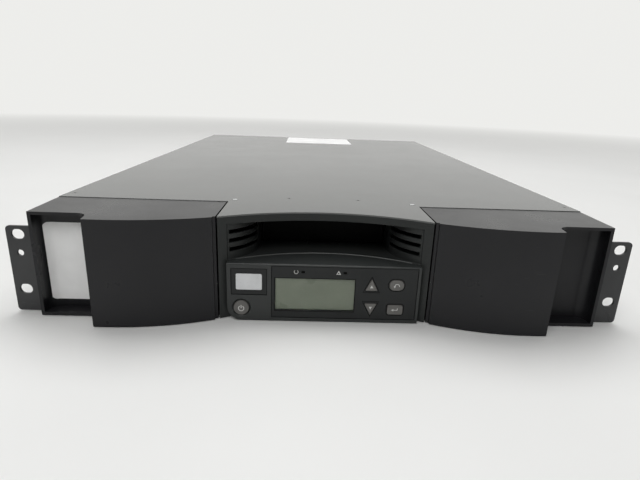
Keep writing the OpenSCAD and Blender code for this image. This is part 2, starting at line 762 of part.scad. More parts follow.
// Tray for one cartridge, hung on the belt by its outer wall
module carrier(y, z) {
    x0 = mag_mid - cartridge_w / 2 - seat;
    x1 = mag_mid + cartridge_w / 2 + seat;
    difference() {
        box(x0, belt_x - seat, y - carrier_l / 2, y + carrier_l / 2,
            z - seat - carrier_t, z + cartridge_t - 4);
        box(x0 - 1, x1, y - cartridge_l / 2 - seat, y + cartridge_l / 2 + seat, z - seat, z + cartridge_t);
        translate([mag_mid - 12, y, z - 4]) cylinder(h = 8, r = 30);
    }
}

module carriers(left) {
    color([0.55, 0.56, 0.55]) on_side(left) for (y = cell_list, z = [lower_z, upper_z]) carrier(y, z);
}

// Cartridge: shell with a stepped front edge, a label recess and a hub window
module cartridge(y, z) {
    w = cartridge_w;
    l = cartridge_l;
    translate([mag_mid, y, z]) difference() {
        translate([-w / 2, -l / 2, 0]) cube([w, l, cartridge_t]);
        translate([-w / 2 - 1, -l / 2 - 1, cartridge_t - 1]) cube([6, l + 2, 2]);
        translate([-w / 2 - 1, -l / 2 + 12, 6]) cube([1.8, l - 24, 13]);
        for (s = [-1, 1]) translate([w / 2 - 16, s * (l / 2), -1]) cylinder(h = cartridge_t + 2, r = 3);
    }
}

module cartridges(left) {
    color([0.08, 0.09, 0.1]) on_side(left) for (y = cell_list, z = [lower_z, upper_z]) cartridge(y, z);
}

// Belt: a band that runs round both pulleys
module belt(left) {
    color([0.05, 0.05, 0.05]) on_side(left) sideways(belt_x, belt_w) difference() {
        belt_outline(belt_r + belt_t / 2);
        belt_outline(belt_r - belt_t / 2);
    }
}

module belt_outline(r) {
    translate([pulley_front, belt_mid - r]) square([pulley_back - pulley_front, 2 * r]);
    for (y = [pulley_front, pulley_back]) translate([y, belt_mid]) circle(r = r);
}

// Shaft across the magazine with its belt pulley
module pulley(y) {
    r = belt_r - belt_t / 2 - fit;
    rod_x([mag_in - 0.5, y, belt_mid], mag_out - mag_in + 1, shaft_r);
    difference() {
        rod_x([belt_x - 0.2, y, belt_mid], belt_w + 0.4, r);
        for (a = [0 : 60 : 300]) translate([belt_x - 1, y, belt_mid])
            rotate([a, 0, 0]) translate([0, 12, 0]) rotate([0, 90, 0]) cylinder(h = belt_w + 2, r = 3.6);
    }
}

// The front shaft carries a thumbwheel, for turning the magazine by hand
module front_pulley(left) {
    color([0.6, 0.6, 0.58]) on_side(left) {
        pulley(pulley_front);
        sideways(mag_in + mag_wall + seat, 5) translate([pulley_front, belt_mid]) difference() {
            circle(r = 12);
            for (a = [0 : 20 : 340]) rotate(a) translate([12.4, 0]) circle(r = 1.2, $fn = 16);
        }
    }
}

// Spur gear of the magazine's gear train, across X
module train_gear(y, teeth, turn) {
    sideways(train_x, train_t) translate([y, belt_mid]) rotate(turn)
        polygon(gear_outline(teeth, train_module));
}

module rear_pulley(left) {
    color([0.6, 0.6, 0.58]) on_side(left) {
        pulley(pulley_back);
        train_gear(pulley_back, train_teeth, 0);
    }
}

module idler_gear(left) {
    color([0.75, 0.74, 0.7]) on_side(left) {
        rod_x([mag_in - 0.5, idler_y, belt_mid], train_x + train_t - mag_in + 1.5, shaft_r);
        rod_x([mag_in + mag_wall + seat, idler_y, belt_mid], train_x - mag_in - mag_wall, 6);
        train_gear(idler_y, train_teeth, 180 + 180 / train_teeth);
    }
}

// Gear on the chassis that drives the idler when the magazine is pushed home
module drive_gear(left) {
    color([0.7, 0.68, 0.6]) on_side(left) {
        train_gear(drive_gear_y, drive_teeth, 0);
        rod_x([train_x + train_t - 0.01, drive_gear_y, belt_mid], 12, shaft_r);
    }
}

module magazine_motors() {
    x = train_x + train_t + 1.5;
    color([0.6, 0.6, 0.62]) for (s = [0, 1]) on_side(s == 1) difference() {
        union() {
            rod_x([x, drive_gear_y, belt_mid], 30, motor_r);
            box(x, x + 1.5, drive_gear_y - motor_r, drive_gear_y + motor_r, sheet_t, belt_mid + motor_r);
            box(x, x + 20, drive_gear_y - motor_r, drive_gear_y + motor_r, sheet_t, sheet_t + 1.5);
        }
        rod_x([x - 1, drive_gear_y, belt_mid], 16, shaft_r + fit);
    }
}

// Rails on the floor of each bay that carry and guide a magazine
module magazine_runners() {
    color([0.75, 0.75, 0.73]) for (s = [0, 1]) on_side(s == 1) for (x = [mag_in + 4, mag_out - 10])
        box(x, x + 6, cover_front + 4, mag_back, sheet_t, mag_low);
}

// ---------------------------------------------------------------- centre column

module bay_wall(left) {
    color([0.62, 0.64, 0.66]) on_side(left) difference() {
        sideways(bay_wall_x, bay_wall_t) translate([cover_front + 1, sheet_t])
            square([rear_in - cover_front - 1, chassis_h - 2 * sheet_t]);
        // Window between the picker and the magazine
        box(bay_wall_x - 1, bay_wall_x + 3, first_cell - cartridge_l / 2 - 3,
            first_cell + cartridge_l / 2 + 3, upper_z - 2, upper_z + cartridge_t + 3);
        rod_x([bay_wall_x - 1, mail_depth + seat + flap_t, mail_top - 3], 5, flap_pin_r + fit);
    }
}

module picker_base() {
    color([0.7, 0.7, 0.72]) union() {
        translate([0, turn_y, sheet_t]) linear_extrude(2)
            round_rect(2 * turn_r + 2, 2 * turn_r - 2, 8);
        translate([0, turn_y, sheet_t]) cylinder(h = hub_low - seat - sheet_t, r = post_r + 5);
        translate([0, turn_y, sheet_t]) cylinder(h = gear_z + gear_t - sheet_t, r = post_r);
    }
}

module picker_turntable() {
    rail_x = cartridge_w / 2 + 1;
    rail_half = sqrt(pow(turn_r - 1, 2) - pow(rail_x + 3, 2));
    color([0.35, 0.36, 0.38]) translate([0, turn_y, 0]) difference() {
        union() {
            translate([0, 0, deck_z - deck_t]) cylinder(h = deck_t, r = turn_r, $fn = 180);
            translate([0, 0, gear_z]) linear_extrude(gear_t) polygon(gear_outline(ring_teeth, gear_module));
            translate([0, 0, gear_z + gear_t - 0.01])
                cylinder(h = deck_z - deck_t - gear_z - gear_t + 0.02, r = 40);
            translate([0, 0, hub_low]) cylinder(h = gear_z - hub_low + 0.01, r = post_r + 5);
            for (s = [-1, 1])
                box(s > 0 ? rail_x : -rail_x - 3, s > 0 ? rail_x + 3 : -rail_x, -rail_half, rail_half,
                    deck_z - 0.01, deck_z + cartridge_t);
        }
        cylinder(h = deck_z - deck_t, r = post_r + fit);
        // Slot for the gripper's foot
        box(-4 - seat, 4 + seat, -60, 60, deck_z - deck_t, deck_z + 1);
    }
}

module turn_motor() {
    translate([pinion_reach * cos(pinion_angle), turn_y + pinion_reach * sin(pinion_angle), 0])
        color([0.55, 0.55, 0.57]) difference() {
            translate([0, 0, sheet_t + 2]) cylinder(h = gear_z - sheet_t - 6, r = 14);
            translate([0, 0, 10]) cylinder(h = 60, r = 2.5 + fit);
        }
}

module turn_pinion() {
    translate([pinion_reach * cos(pinion_angle), turn_y + pinion_reach * sin(pinion_angle), 0])
        color([0.75, 0.7, 0.5]) union() {
            translate([0, 0, 10.5]) cylinder(h = gear_z - 10.5 + 0.01, r = 2.5);
            translate([0, 0, gear_z]) linear_extrude(gear_t)
                rotate(pinion_angle + 180 + 180 / pinion_teeth)
                    polygon(gear_outline(pinion_teeth, gear_module));
        }
}

// Gripper: a bar on the deck with two hooks, on a foot in the deck's slot
module gripper() {
    y = turn_y - 50;
    half = cartridge_w / 2 - 7;
    color([0.8, 0.8, 0.78]) union() {
        box(-half, half, y, y + 9, deck_z + seat, deck_z + 16);
        box(-4, 4, y + 1, y + 8, deck_z - deck_t + seat, deck_z + seat + 0.01);
        for (x = [8 - half, half - 8]) box(x - 3, x + 3, y + 8.9, y + 16, deck_z + 3, deck_z + 8);
    }
}

// ---------------------------------------------------------------- drive, supply and controller

module tape_drive() {
    mouth_low = upper_z - 1.3;
    color([0.5, 0.51, 0.52]) difference() {
        box(-drive_half, drive_half, drive_front, drive_front + drive_l, 4.2, chassis_h - 4);
        box(-drive_half + 1.5, drive_half - 1.5, drive_front + 4, drive_front + drive_l - 1.5,
            5.7, chassis_h - 5.5);
        box(-mail_half, mail_half, drive_front - 1, drive_front + 5,
            mouth_low, mouth_low + cartridge_t + 3);
        box(-30, 30, drive_front - 1, drive_front + 5, mouth_low - 8, mouth_low + 0.01);
        for (s = [-1, 1], i = [0 : 5])
            box(s > 0 ? drive_half - 2 : -drive_half - 1, s > 0 ? drive_half + 1 : -drive_half + 2,
                drive_front + 40 + i * 24, drive_front + 56 + i * 24, 20, 60);
    }
}

// Plate that closes one of the pan's rear openings
module rear_plate(x) {
    facing(chassis_back, 1.5) translate([(x[0] + x[1]) / 2, (module_low + module_top) / 2])
        round_rect(x[1] - x[0] + 6, module_top - module_low + 6, 1.5);
}

fan_r = 27;
module fan_cut(x, z) {
    for (r = [9 : 6 : fan_r]) difference() {
        translate([x, z]) circle(r = r + 2);
        translate([x, z]) circle(r = r - 2);
        translate([x, z]) for (a = [45, 135]) rotate(a) square([80, 3], center = true);
    }
}

module fan_rotor(x, z) {
    color([0.08, 0.08, 0.08]) translate([x, chassis_back - 22, z]) rotate([-90, 0, 0]) union() {
        cylinder(h = 14, r = 9);
        cylinder(h = 19, r = 1.5);
        for (i = [0 : 6]) rotate([0, 0, i * 360 / 7]) translate([8.5, 0, 7]) rotate([38, 0, 0])
            translate([0, -6, -0.6]) cube([fan_r - 8.5 - 1.5, 12, 1.2]);
    }
}

// Square duct that carries a fan, with its bearing spider
module fan_body(x, z) {
    difference() {
        facing(chassis_back - 25, 25) translate([x, z]) round_rect(60, 60, 4);
        rod_y([x, chassis_back - 26, z], 30, fan_r);
    }
    difference() {
        facing(chassis_back - 6, 3) translate([x, z]) union() {
            circle(r = 8);
            for (a = [0, 90]) rotate(a) square([2 * fan_r + 1, 3], center = true);
        }
        rod_y([x, chassis_back - 8, z], 10, 1.5 + fit);
    }
}

sled_fan = [sled_x[0] + 39.4, 42];
port_x = sled_x[1] - 41.4;
supply_fan = [supply_x[1] - 34, 42];

module drive_sled() {
    color([0.66, 0.67, 0.68]) union() {
        box(-drive_half, drive_half, drive_front, rear_in - seat, sheet_t, 4.2);
        // Upstand behind the drive, and the lip that carries the rear plate through the pan's opening
        box(-drive_half, drive_half, rear_in - 3, rear_in - seat, 4.19, module_low + 8);
        box(-drive_half, drive_half, rear_in - 3, chassis_back + 0.01, module_low + seat, module_low + 3);
        difference() {
            rear_plate(sled_x);
            facing(chassis_back - 1, 4) {
                fan_cut(sled_fan[0], sled_fan[1]);
                for (z = [24, 54]) translate([port_x, z]) round_rect(60, 14, 2);
            }
        }
        fan_body(sled_fan[0], sled_fan[1]);
        // Pull handle
        difference() {
            facing(chassis_back + 1.4, 6.6) translate([port_x, 39]) round_rect(40, 7, 2);
            facing(chassis_back + 1.4, 4) translate([port_x, 39]) square([30, 8], center = true);
        }
    }
}

module drive_ports() {
    color([0.75, 0.75, 0.75]) for (z = [24, 54]) difference() {
        union() {
            facing(chassis_back - 14, 19) translate([port_x, z]) round_rect(48, 9, 2);
            facing(chassis_back - 2, 2) translate([port_x, z]) round_rect(58, 13, 2);
        }
        facing(chassis_back - 4, 10) translate([port_x, z]) difference() {
            round_rect(45, 6.4, 1.4);
            square([41, 2], center = true);
        }
    }
}

module power_supply() {
    color([0.7, 0.71, 0.72]) union() {
        difference() {
            union() {
                box(supply_x[0], supply_x[1] - 66, chassis_back - 72, rear_in - seat, sheet_t, module_top);
                box(supply_x[0] + seat, supply_x[1] - 66, rear_in - 3, chassis_back + 0.01,
                    module_low + seat, module_top - seat);
            }
            box(supply_x[0] + 1.5, supply_x[1] - 60, chassis_back - 70.5, chassis_back - 20, sheet_t + 1.5,
                module_top - 1.5);
            facing(chassis_back - 20, 30) translate([supply_x[0] + 26, 42]) round_rect(28.4, 22, 2);
        }
        difference() {
            rear_plate(supply_x);
            facing(chassis_back - 1, 4) {
                fan_cut(supply_fan[0], supply_fan[1]);
                translate([supply_x[0] + 26, 42]) round_rect(28.4, 22, 2);
            }
        }
        fan_body(supply_fan[0], supply_fan[1]);
    }
}

// Mains inlet: a shell with three blades in its well
module power_inlet() {
    x = supply_x[0] + 26;
    color([0.07, 0.07, 0.07]) union() {
        difference() {
            union() {
                facing(chassis_back - 18, 18) translate([x, 42]) round_rect(28, 21.6, 2);
                facing(chassis_back + 1.5, 2) translate([x, 42]) round_rect(32, 25, 2);
                facing(chassis_back - 0.1, 1.7) translate([x, 42]) round_rect(28, 21.6, 2);
            }
            facing(chassis_back - 12, 20) translate([x, 42]) inlet_well();
        }
        for (p = [[-7, -1], [0, 3], [7, -1]])
            facing(chassis_back - 13, 12) translate([x + p[0], 42 + p[1]]) square([2, 4], center = true);
    }
}

module inlet_well() {
    polygon([[-12, -8], [12, -8], [12, 3], [7, 8], [-7, 8], [-12, 3]]);
}

module controller_card() {
    x = card_x;
    color([0.66, 0.67, 0.68]) union() {
        difference() {
            rear_plate(x);
            facing(chassis_back - 1, 4) {
                translate([x[0] + 30, 24]) square([16.4, 13.9], center = true);
                translate([x[0] + 72, 24]) round_rect(31.4, 13.4, 2);
                for (i = [0 : 12], j = [0 : 3])
                    translate([x[0] + 10 + i * 8, 46 + j * 7]) circle(d = 4, $fn = 24);
            }
        }
        box(x[0] + 2, x[1] - 2, chassis_back - 62, chassis_back, 12, 13.6);
        for (px = [x[0] + 8, x[1] - 8], y = [chassis_back - 56, chassis_back - 10])
            translate([px, y, sheet_t]) cylinder(h = 12 - sheet_t, r = 3);
    }
}

// Network jack and serial socket
module rear_ports() {
    x = card_x[0];
    color([0.7, 0.7, 0.7]) union() {
        difference() {
            facing(chassis_back - 14, 16) translate([x + 30, 24]) square([16, 13.5], center = true);
            facing(chassis_back - 8, 12) translate([x + 30, 24]) {
                translate([0, 1]) square([12, 8], center = true);
                translate([0, -3.5]) square([6, 3], center = true);
            }
        }
        difference() {
            facing(chassis_back - 8, 13) translate([x + 72, 24]) round_rect(17, 9, 3);
            facing(chassis_back + 1, 12) translate([x + 72, 24]) round_rect(15.6, 7.6, 2.4);
        }
        facing(chassis_back - 8, 9) translate([x + 72, 24]) round_rect(31, 13, 2);
    }
}

// ---------------------------------------------------------------- nodes

module placed() { translate([0, -mid_y, 0]) children(); }

placed() base_pan();
placed() top_cover();
placed() cover_screws();
placed() cover_rivets();
placed() rack_ear(true);  // left_rack_ear
placed() rack_ear(false);  // right_rack_ear
placed() ear_screws();
placed() centre_bezel();
placed() panel_housing();
placed() panel_overlay();
placed() display_window();
placed() display_module();
placed() status_lights();
placed() badge_plate();
placed() panel_board();
placed() key("power");  // power_button
placed() key("up");  // up_button
placed() key("down");  // down_button
placed() key("cancel");  // cancel_button
placed() key("enter");  // enter_button
placed() mail_slot_flap();
placed() flap_pin();
placed() bay_wall(true);  // left_bay_wall
placed() bay_wall(false);  // right_bay_wall
placed() magazine_runners();
placed() magazine_bezel(true);  // left_bezel
placed() magazine_frame(true);  // left_magazine_frame
placed() magazine_lid(true);  // left_magazine_lid
placed() carriers(true);  // left_carriers
placed() cartridges(true);  // left_cartridges
placed() belt(true);  // left_belt
placed() front_pulley(true);  // left_front_pulley
placed() rear_pulley(true);  // left_rear_pulley
placed() idler_gear(true);  // left_idler_gear
placed() magazine_bezel(false);  // right_bezel
placed() magazine_frame(false);  // right_magazine_frame
placed() magazine_lid(false);  // right_magazine_lid
placed() carriers(false);  // right_carriers
placed() cartridges(false);  // right_cartridges
placed() belt(false);  // right_belt
placed() front_pulley(false);  // right_front_pulley
placed() rear_pulley(false);  // right_rear_pulley
placed() idler_gear(false);  // right_idler_gear
placed() drive_gear(true);  // left_drive_gear
placed() drive_gear(false);  // right_drive_gear
placed() magazine_motors();
placed() picker_base();
placed() picker_turntable();
placed() turn_motor();
placed() turn_pinion();
placed() gripper();
placed() tape_drive();
placed() drive_sled();
placed() drive_ports();
placed() fan_rotor(sled_fan[0], sled_fan[1]);  // sled_fan_rotor
placed() power_supply();
placed() power_inlet();
placed() fan_rotor(supply_fan[0], supply_fan[1]);  // supply_fan_rotor
placed() controller_card();
placed() rear_ports();
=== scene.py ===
"""Finish and small parts of a rack-mounted tape library, dressed over its construction model."""
import json
import math

import bpy
from mathutils import Euler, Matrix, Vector


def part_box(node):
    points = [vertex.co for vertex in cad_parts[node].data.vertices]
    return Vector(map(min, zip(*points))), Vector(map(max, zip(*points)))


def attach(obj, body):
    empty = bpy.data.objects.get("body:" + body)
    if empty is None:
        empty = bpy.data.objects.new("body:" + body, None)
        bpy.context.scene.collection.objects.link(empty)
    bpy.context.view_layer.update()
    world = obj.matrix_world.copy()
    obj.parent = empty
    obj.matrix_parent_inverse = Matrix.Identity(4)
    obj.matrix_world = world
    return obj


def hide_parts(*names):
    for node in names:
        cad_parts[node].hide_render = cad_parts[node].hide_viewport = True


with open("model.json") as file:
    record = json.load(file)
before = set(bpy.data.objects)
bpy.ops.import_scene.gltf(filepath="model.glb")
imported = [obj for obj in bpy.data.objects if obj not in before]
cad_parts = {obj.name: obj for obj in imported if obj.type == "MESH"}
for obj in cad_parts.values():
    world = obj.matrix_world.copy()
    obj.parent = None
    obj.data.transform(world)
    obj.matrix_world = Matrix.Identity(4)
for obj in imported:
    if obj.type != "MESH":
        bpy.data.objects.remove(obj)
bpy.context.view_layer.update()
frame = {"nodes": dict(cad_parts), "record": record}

MM = 0.001
NODES = frame["nodes"]

# ---------------------------------------------------------------- places on the object

SHEET_T = 1.2 * MM      # thickness of the cover
BEZEL_GAP = 0.5 * MM    # gap between a magazine bezel and the cover behind it

RACK_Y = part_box("left_rack_ear")[0][1]                  # front face of the rack ears
COVER_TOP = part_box("base_pan")[1][2] + SHEET_T          # top face of the cover
COVER_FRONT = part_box("left_bezel")[1][1] + BEZEL_GAP    # the cover's edge behind the magazine bezels
COVER_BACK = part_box("top_cover")[1][1]                  # the cover's back edge
HOOD_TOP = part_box("panel_housing")[1][2]                # highest point of the panel housing


def at(x, y, z):
    """A point given in mm: right of the middle, behind the rack ears, above the underside."""
    return Vector((x * MM, RACK_Y + y * MM, z * MM))


def corners_of(node):
    """Lowest and highest corner of a node, in mm."""
    low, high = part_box(node)
    return Vector(low) / MM, Vector(high) / MM


def middle_of(node):
    """Middle of a node, in mm."""
    low, high = corners_of(node)
    return (low + high) / 2


def front_of(node):
    """Front face of a node, in mm behind the rack ears."""
    return (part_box(node)[0][1] - RACK_Y) / MM


def body_of(node):
    """The body that a node of the construction belongs to."""
    for name, nodes in frame["record"]["behaviour"]["bodies"].items():
        if node in nodes:
            return name
    raise KeyError(node)


# ---------------------------------------------------------------- modelling helpers

SHARP = 28.0            # angle between two faces, in degrees, from which their edge is rounded
FLAT = 0.6              # angle, in degrees, up to which triangles count as one face
MERGE = 0.02 * MM       # distance within which loose corners are one


def start_fresh():
    """Leaves edit mode and deselects everything, since operators act on all that is selected."""
    if bpy.context.mode != "OBJECT":
        bpy.ops.object.mode_set(mode="OBJECT")
    bpy.ops.object.select_all(action="DESELECT")


def take(piece):
    """Makes a piece the only selected object."""
    start_fresh()
    piece.select_set(True)
    bpy.context.view_layer.objects.active = piece


def named(name):
    """Names the piece just made, and its mesh."""
    piece = bpy.context.object
    piece.name = name
    piece.data.name = name
    return piece


def settle(piece):
    """Applies place, turn and size, so that they are in the mesh and the object is at the origin."""
    take(piece)
    bpy.ops.object.transform_apply(location=True, rotation=True, scale=True)
    return piece


def apply_modifiers(piece):
    """Applies a piece's modifiers from first to last."""
    take(piece)
    for modifier in list(piece.modifiers):
        bpy.ops.object.modifier_apply(modifier=modifier.name)
    return piece


def select_sharp_edges(piece, wanted):
    """Selects those of the wanted edges between faces that meet at a sharp angle."""
    mesh = piece.data
    beside = {}
    for face in mesh.polygons:
        for key in face.edge_keys:
            beside.setdefault(key, []).append(face.normal.copy())
    for face in mesh.polygons:
        face.select = False
    for vertex in mesh.vertices:
        vertex.select = False
    for edge in mesh.edges:
        faces = beside.get(edge.key, [])
        edge.select = (len(faces) == 2 and faces[0].angle(faces[1], 0) > math.radians(SHARP)
                       and wanted(*(mesh.vertices[i].co for i in edge.vertices)))


def shade(piece, angle=35.0):
    """Smooths what bends gently and keeps broad faces flat."""
    take(piece)
    bpy.ops.object.shade_smooth_by_angle(angle=math.radians(angle))
    normals = piece.modifiers.new("flat_faces", "WEIGHTED_NORMAL")
    normals.keep_sharp = True
    normals.weight = 100
    return apply_modifiers(piece)


def bevel_edges(piece, width, segments, wanted=lambda a, b: True):
    """Rounds the sharp edges, or those that are wanted."""
    take(piece)
    bpy.ops.object.mode_set(mode="EDIT")
    bpy.ops.mesh.select_mode(type="EDGE")
    bpy.ops.mesh.select_all(action="DESELECT")
    bpy.ops.object.mode_set(mode="OBJECT")
    select_sharp_edges(piece, wanted)
    bpy.ops.object.mode_set(mode="EDIT")
    bpy.ops.mesh.bevel(offset=width, segments=segments, affect="EDGES", clamp_overlap=True)
    bpy.ops.object.mode_set(mode="OBJECT")


def pick_vertices(piece, wanted):
    """Leaves the piece in edit mode with only the wanted vertices selected."""
    take(piece)
    bpy.ops.object.mode_set(mode="EDIT")
    bpy.ops.mesh.select_mode(type="VERT")
    bpy.ops.mesh.select_all(action="DESELECT")
    bpy.ops.object.mode_set(mode="OBJECT")
    for vertex in piece.data.vertices:
        vertex.select = wanted(vertex.co)
    bpy.ops.object.mode_set(mode="EDIT")


def paint_piece(piece, material):
    """Gives a piece one material."""
    piece.data.materials.clear()
    piece.data.materials.append(material)
    return piece


def fit_to(piece, body, material):
    """Gives a finished piece its material and the body that it moves with."""
    settle(piece)
    paint_piece(piece, MATERIALS[material])
    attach(piece, body)
    return piece


def soften(node, width, generous=None, reshape=None):
    """A copy of a construction node with its edges rounded, as a moulding or painted sheet has.

    Generous is a wider radius and the edges that have it, for the few that are rounder. Reshape is
    a change to the merged copy before that.
    """
    source = NODES[node]
    piece = source.copy()
    piece.data = source.data.copy()
    piece.parent = None
    piece.matrix_world.identity()
    piece.name = node + "_finished"
    bpy.context.scene.collection.objects.link(piece)
    take(piece)
    bpy.ops.object.mode_set(mode="EDIT")
    bpy.ops.mesh.select_all(action="SELECT")
    bpy.ops.mesh.remove_doubles(threshold=MERGE)
    bpy.ops.mesh.dissolve_limited(angle_limit=math.radians(FLAT))
    bpy.ops.object.mode_set(mode="OBJECT")
    if reshape:
        reshape(piece)
    if generous:
        radius, wanted = generous
        bevel_edges(piece, radius, 4, wanted)
    bevel_edges(piece, width, 2)
    shade(piece)
    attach(piece, body_of(node))
    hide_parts(node)
    return piece


# ---------------------------------------------------------------- materials

class Finish:
    """A material under construction: a shader, and the object's own coordinates to feed patterns."""

    def __init__(self, name, colour, roughness, metallic=0.0):
        self.material = bpy.data.materials.new(name)
        self.material.use_nodes = True
        self.tree = self.material.node_tree
        self.shader = self.tree.nodes["Principled BSDF"]
        self.shader.inputs["Base Color"].default_value = (*colour, 1)
        self.shader.inputs["Roughness"].default_value = roughness
        self.shader.inputs["Metallic"].default_value = metallic
        self.colour = colour
        self.roughness = roughness
        self.coordinates = self.add("ShaderNodeTexCoord").outputs["Object"]
        self.colour_out = None
        self.bump_out = None

    def add(self, kind, **values):
        node = self.tree.nodes.new(kind)
        for key, value in values.items():
            setattr(node, key, value)
        return node

    def link(self, source, target):
        self.tree.links.new(source, target)

    def stretched(self, scale):
        """The coordinates with their own scale along X, Y and Z."""
        mapping = self.add("ShaderNodeMapping")
        mapping.inputs["Scale"].default_value = scale
        self.link(self.coordinates, mapping.inputs["Vector"])
        return mapping.outputs["Vector"]

    def noise(self, scale, detail=3.0, rough=0.55, stretch=None):
        texture = self.add("ShaderNodeTexNoise")
        texture.inputs["Scale"].default_value = scale
        texture.inputs["Detail"].default_value = detail
        texture.inputs["Roughness"].default_value = rough
        self.link(self.stretched(stretch) if stretch else self.coordinates, texture.inputs["Vector"])
        return texture.outputs["Fac"]

    def ramp(self, value, low, high, from_value=0.0, to_value=1.0):
        """Maps low..high of a pattern to from_value..to_value, clamped."""
        node = self.add("ShaderNodeMapRange")
        node.inputs["From Min"].default_value = low
        node.inputs["From Max"].default_value = high
        node.inputs["To Min"].default_value = from_value
        node.inputs["To Max"].default_value = to_value
        self.link(value, node.inputs["Value"])
        return node.outputs["Result"]

    def tint(self, amount, other):
        """Blends another colour over the base by a pattern."""
        mix = self.add("ShaderNodeMix", data_type="RGBA")
        if self.colour_out:
            self.link(self.colour_out, mix.inputs["A"])
        else:
            mix.inputs["A"].default_value = (*self.colour, 1)
        mix.inputs["B"].default_value = (*other, 1)
        self.link(amount, mix.inputs["Factor"])
        self.colour_out = mix.outputs["Result"]
        self.link(self.colour_out, self.shader.inputs["Base Color"])
        return self

    def mottle(self, scale, amount, stretch=None):
        """Slow drift of the colour, lighter and darker."""
        pattern = self.noise(scale, 4.0, 0.6, stretch)
        lighter = tuple(min(1.0, c * (1 + amount)) for c in self.colour)
        darker = tuple(c * (1 - amount) for c in self.colour)
        self.tint(self.ramp(pattern, 0.35, 0.5, 1, 0), darker)
        return self.tint(self.ramp(pattern, 0.5, 0.68), lighter)

    def specks(self, scale, size, colour, strength=1.0):
        """Sparse dust specks and pin-point scuffs."""
        cells = self.add("ShaderNodeTexVoronoi")
        cells.inputs["Scale"].default_value = scale
        cells.inputs["Randomness"].default_value = 1.0
        self.link(self.coordinates, cells.inputs["Vector"])
        dots = self.ramp(cells.outputs["Distance"], size * 0.6, size, strength, 0)
        patch = self.ramp(self.noise(scale * 0.22, 2.0), 0.52, 0.62)
        both = self.add("ShaderNodeMath", operation="MULTIPLY")
        self.link(dots, both.inputs[0])
        self.link(patch, both.inputs[1])
        return self.tint(both.outputs[0], colour)

    def scuffs(self, scale, colour, strength=0.5, stretch=(1, 1, 9)):
        """Short faint rubs, longer along one way."""
        lines = self.ramp(self.noise(scale, 5.0, 0.7, stretch), 0.66, 0.74, 0, strength)
        return self.tint(lines, colour)

    def vary_roughness(self, scale, amount, stretch=None):
        pattern = self.noise(scale, 4.0, 0.6, stretch)
        low = max(0.02, self.roughness - amount)
        self.link(self.ramp(pattern, 0.3, 0.7, low, min(1.0, self.roughness + amount)),
                  self.shader.inputs["Roughness"])
        return self

    def grain(self, scale, depth, detail=2.0, stretch=None):
        """Fine relief; depth in metres."""
        bump = self.add("ShaderNodeBump")
        bump.inputs["Strength"].default_value = 1.0
        bump.inputs["Distance"].default_value = depth
        self.link(self.noise(scale, detail, 0.6, stretch), bump.inputs["Height"])
        if self.bump_out:
            self.link(self.bump_out, bump.inputs["Normal"])
        self.bump_out = bump.outputs["Normal"]
        self.link(self.bump_out, self.shader.inputs["Normal"])
        return self

    def set(self, **inputs):
        for key, value in inputs.items():
            self.shader.inputs[key.replace("_", " ")].default_value = value
        return self


DUST = (0.22, 0.22, 0.21)


def charcoal_paint():
    """Satin powder coat of the cover."""
    return (Finish("charcoal_paint", (0.06, 0.063, 0.06), 0.2)
            .mottle(9, 0.06).specks(60, 0.035, DUST, 0.5).scuffs(22, (0.1, 0.1, 0.1), 0.4, (1, 6, 1))
            .vary_roughness(7, 0.02).grain(900, 0.00005).grain(2600, 0.00002).set(IOR=1.75)).material


def ear_paint():
    """Worn black paint of the rack ears."""
    return (Finish("ear_paint", (0.03, 0.031, 0.032), 0.42)
            .mottle(30, 0.12).scuffs(120, (0.2, 0.2, 0.2), 0.4).specks(180, 0.05, DUST, 0.5)
            .vary_roughness(25, 0.08).grain(1500, 0.00005)).material


def moulded_charcoal(name, colour, roughness, ior=1.33):
    """Spark-eroded plastic: even fine grain, slight dust, a few rubs."""
    rub = tuple(c + 0.03 for c in colour)
    return (Finish(name, colour, roughness)
            .mottle(14, 0.08).specks(85, 0.03, DUST, 0.6).scuffs(36, rub, 0.35)
            .vary_roughness(18, 0.04).grain(2300, 0.00003).set(IOR=ior)).material


def plain_plastic(name, colour, roughness, grain=0.00003):
    """Moulded plastic of small and hidden pieces."""
    return (Finish(name, colour, roughness)
            .mottle(40, 0.10).vary_roughness(60, 0.06).grain(2600, grain)).material


def printed_film():
    """Dark film over the panel."""
    return (Finish("printed_film", (0.02, 0.0215, 0.0215), 0.36)
            .mottle(30, 0.08).specks(140, 0.03, DUST, 0.4).vary_roughness(40, 0.06).grain(3000, 0.00002)
            .set(IOR=1.33)).material


def zinc_sheet():
    """Zinc-plated steel with its faint rolled grain."""
    return (Finish("zinc_sheet", (0.56, 0.56, 0.55), 0.34, 1.0)
            .mottle(50, 0.08).vary_roughness(200, 0.09, (1, 0.05, 1))
            .grain(700, 0.00002, 3, (1, 0.04, 1))).material


def satin_metal(name, colour, roughness, stretch=(1, 1, 12)):
    return (Finish(name, colour, roughness, 1.0)
            .mottle(90, 0.06).vary_roughness(500, 0.07, stretch).grain(1500, 0.00001, 3, stretch)).material


def black_oxide():
    return (Finish("black_oxide", (0.03, 0.03, 0.03), 0.35, 0.6)
            .mottle(300, 0.2).vary_roughness(600, 0.1).grain(3000, 0.00002)).material


def clear_window():
    return (Finish("clear_window", (0.92, 0.94, 0.92), 0.07)
            .vary_roughness(60, 0.03).grain(500, 0.000005)
            .set(Transmission_Weight=1.0, IOR=1.05)).material


def crystal_film():
    """Grey-green display at rest, with the faint grid of its dots."""
    finish = Finish("crystal_film", (0.26, 0.278, 0.225), 0.3)
    finish.mottle(35, 0.06).vary_roughness(50, 0.05)
    wave = finish.add("ShaderNodeTexWave", bands_direction="X")
    wave.inputs["Scale"].default_value = 420
    finish.link(finish.coordinates, wave.inputs["Vector"])
    return finish.tint(finish.ramp(wave.outputs["Fac"], 0.0, 1.0, 0.0, 0.12), (0.2, 0.214, 0.17)).material


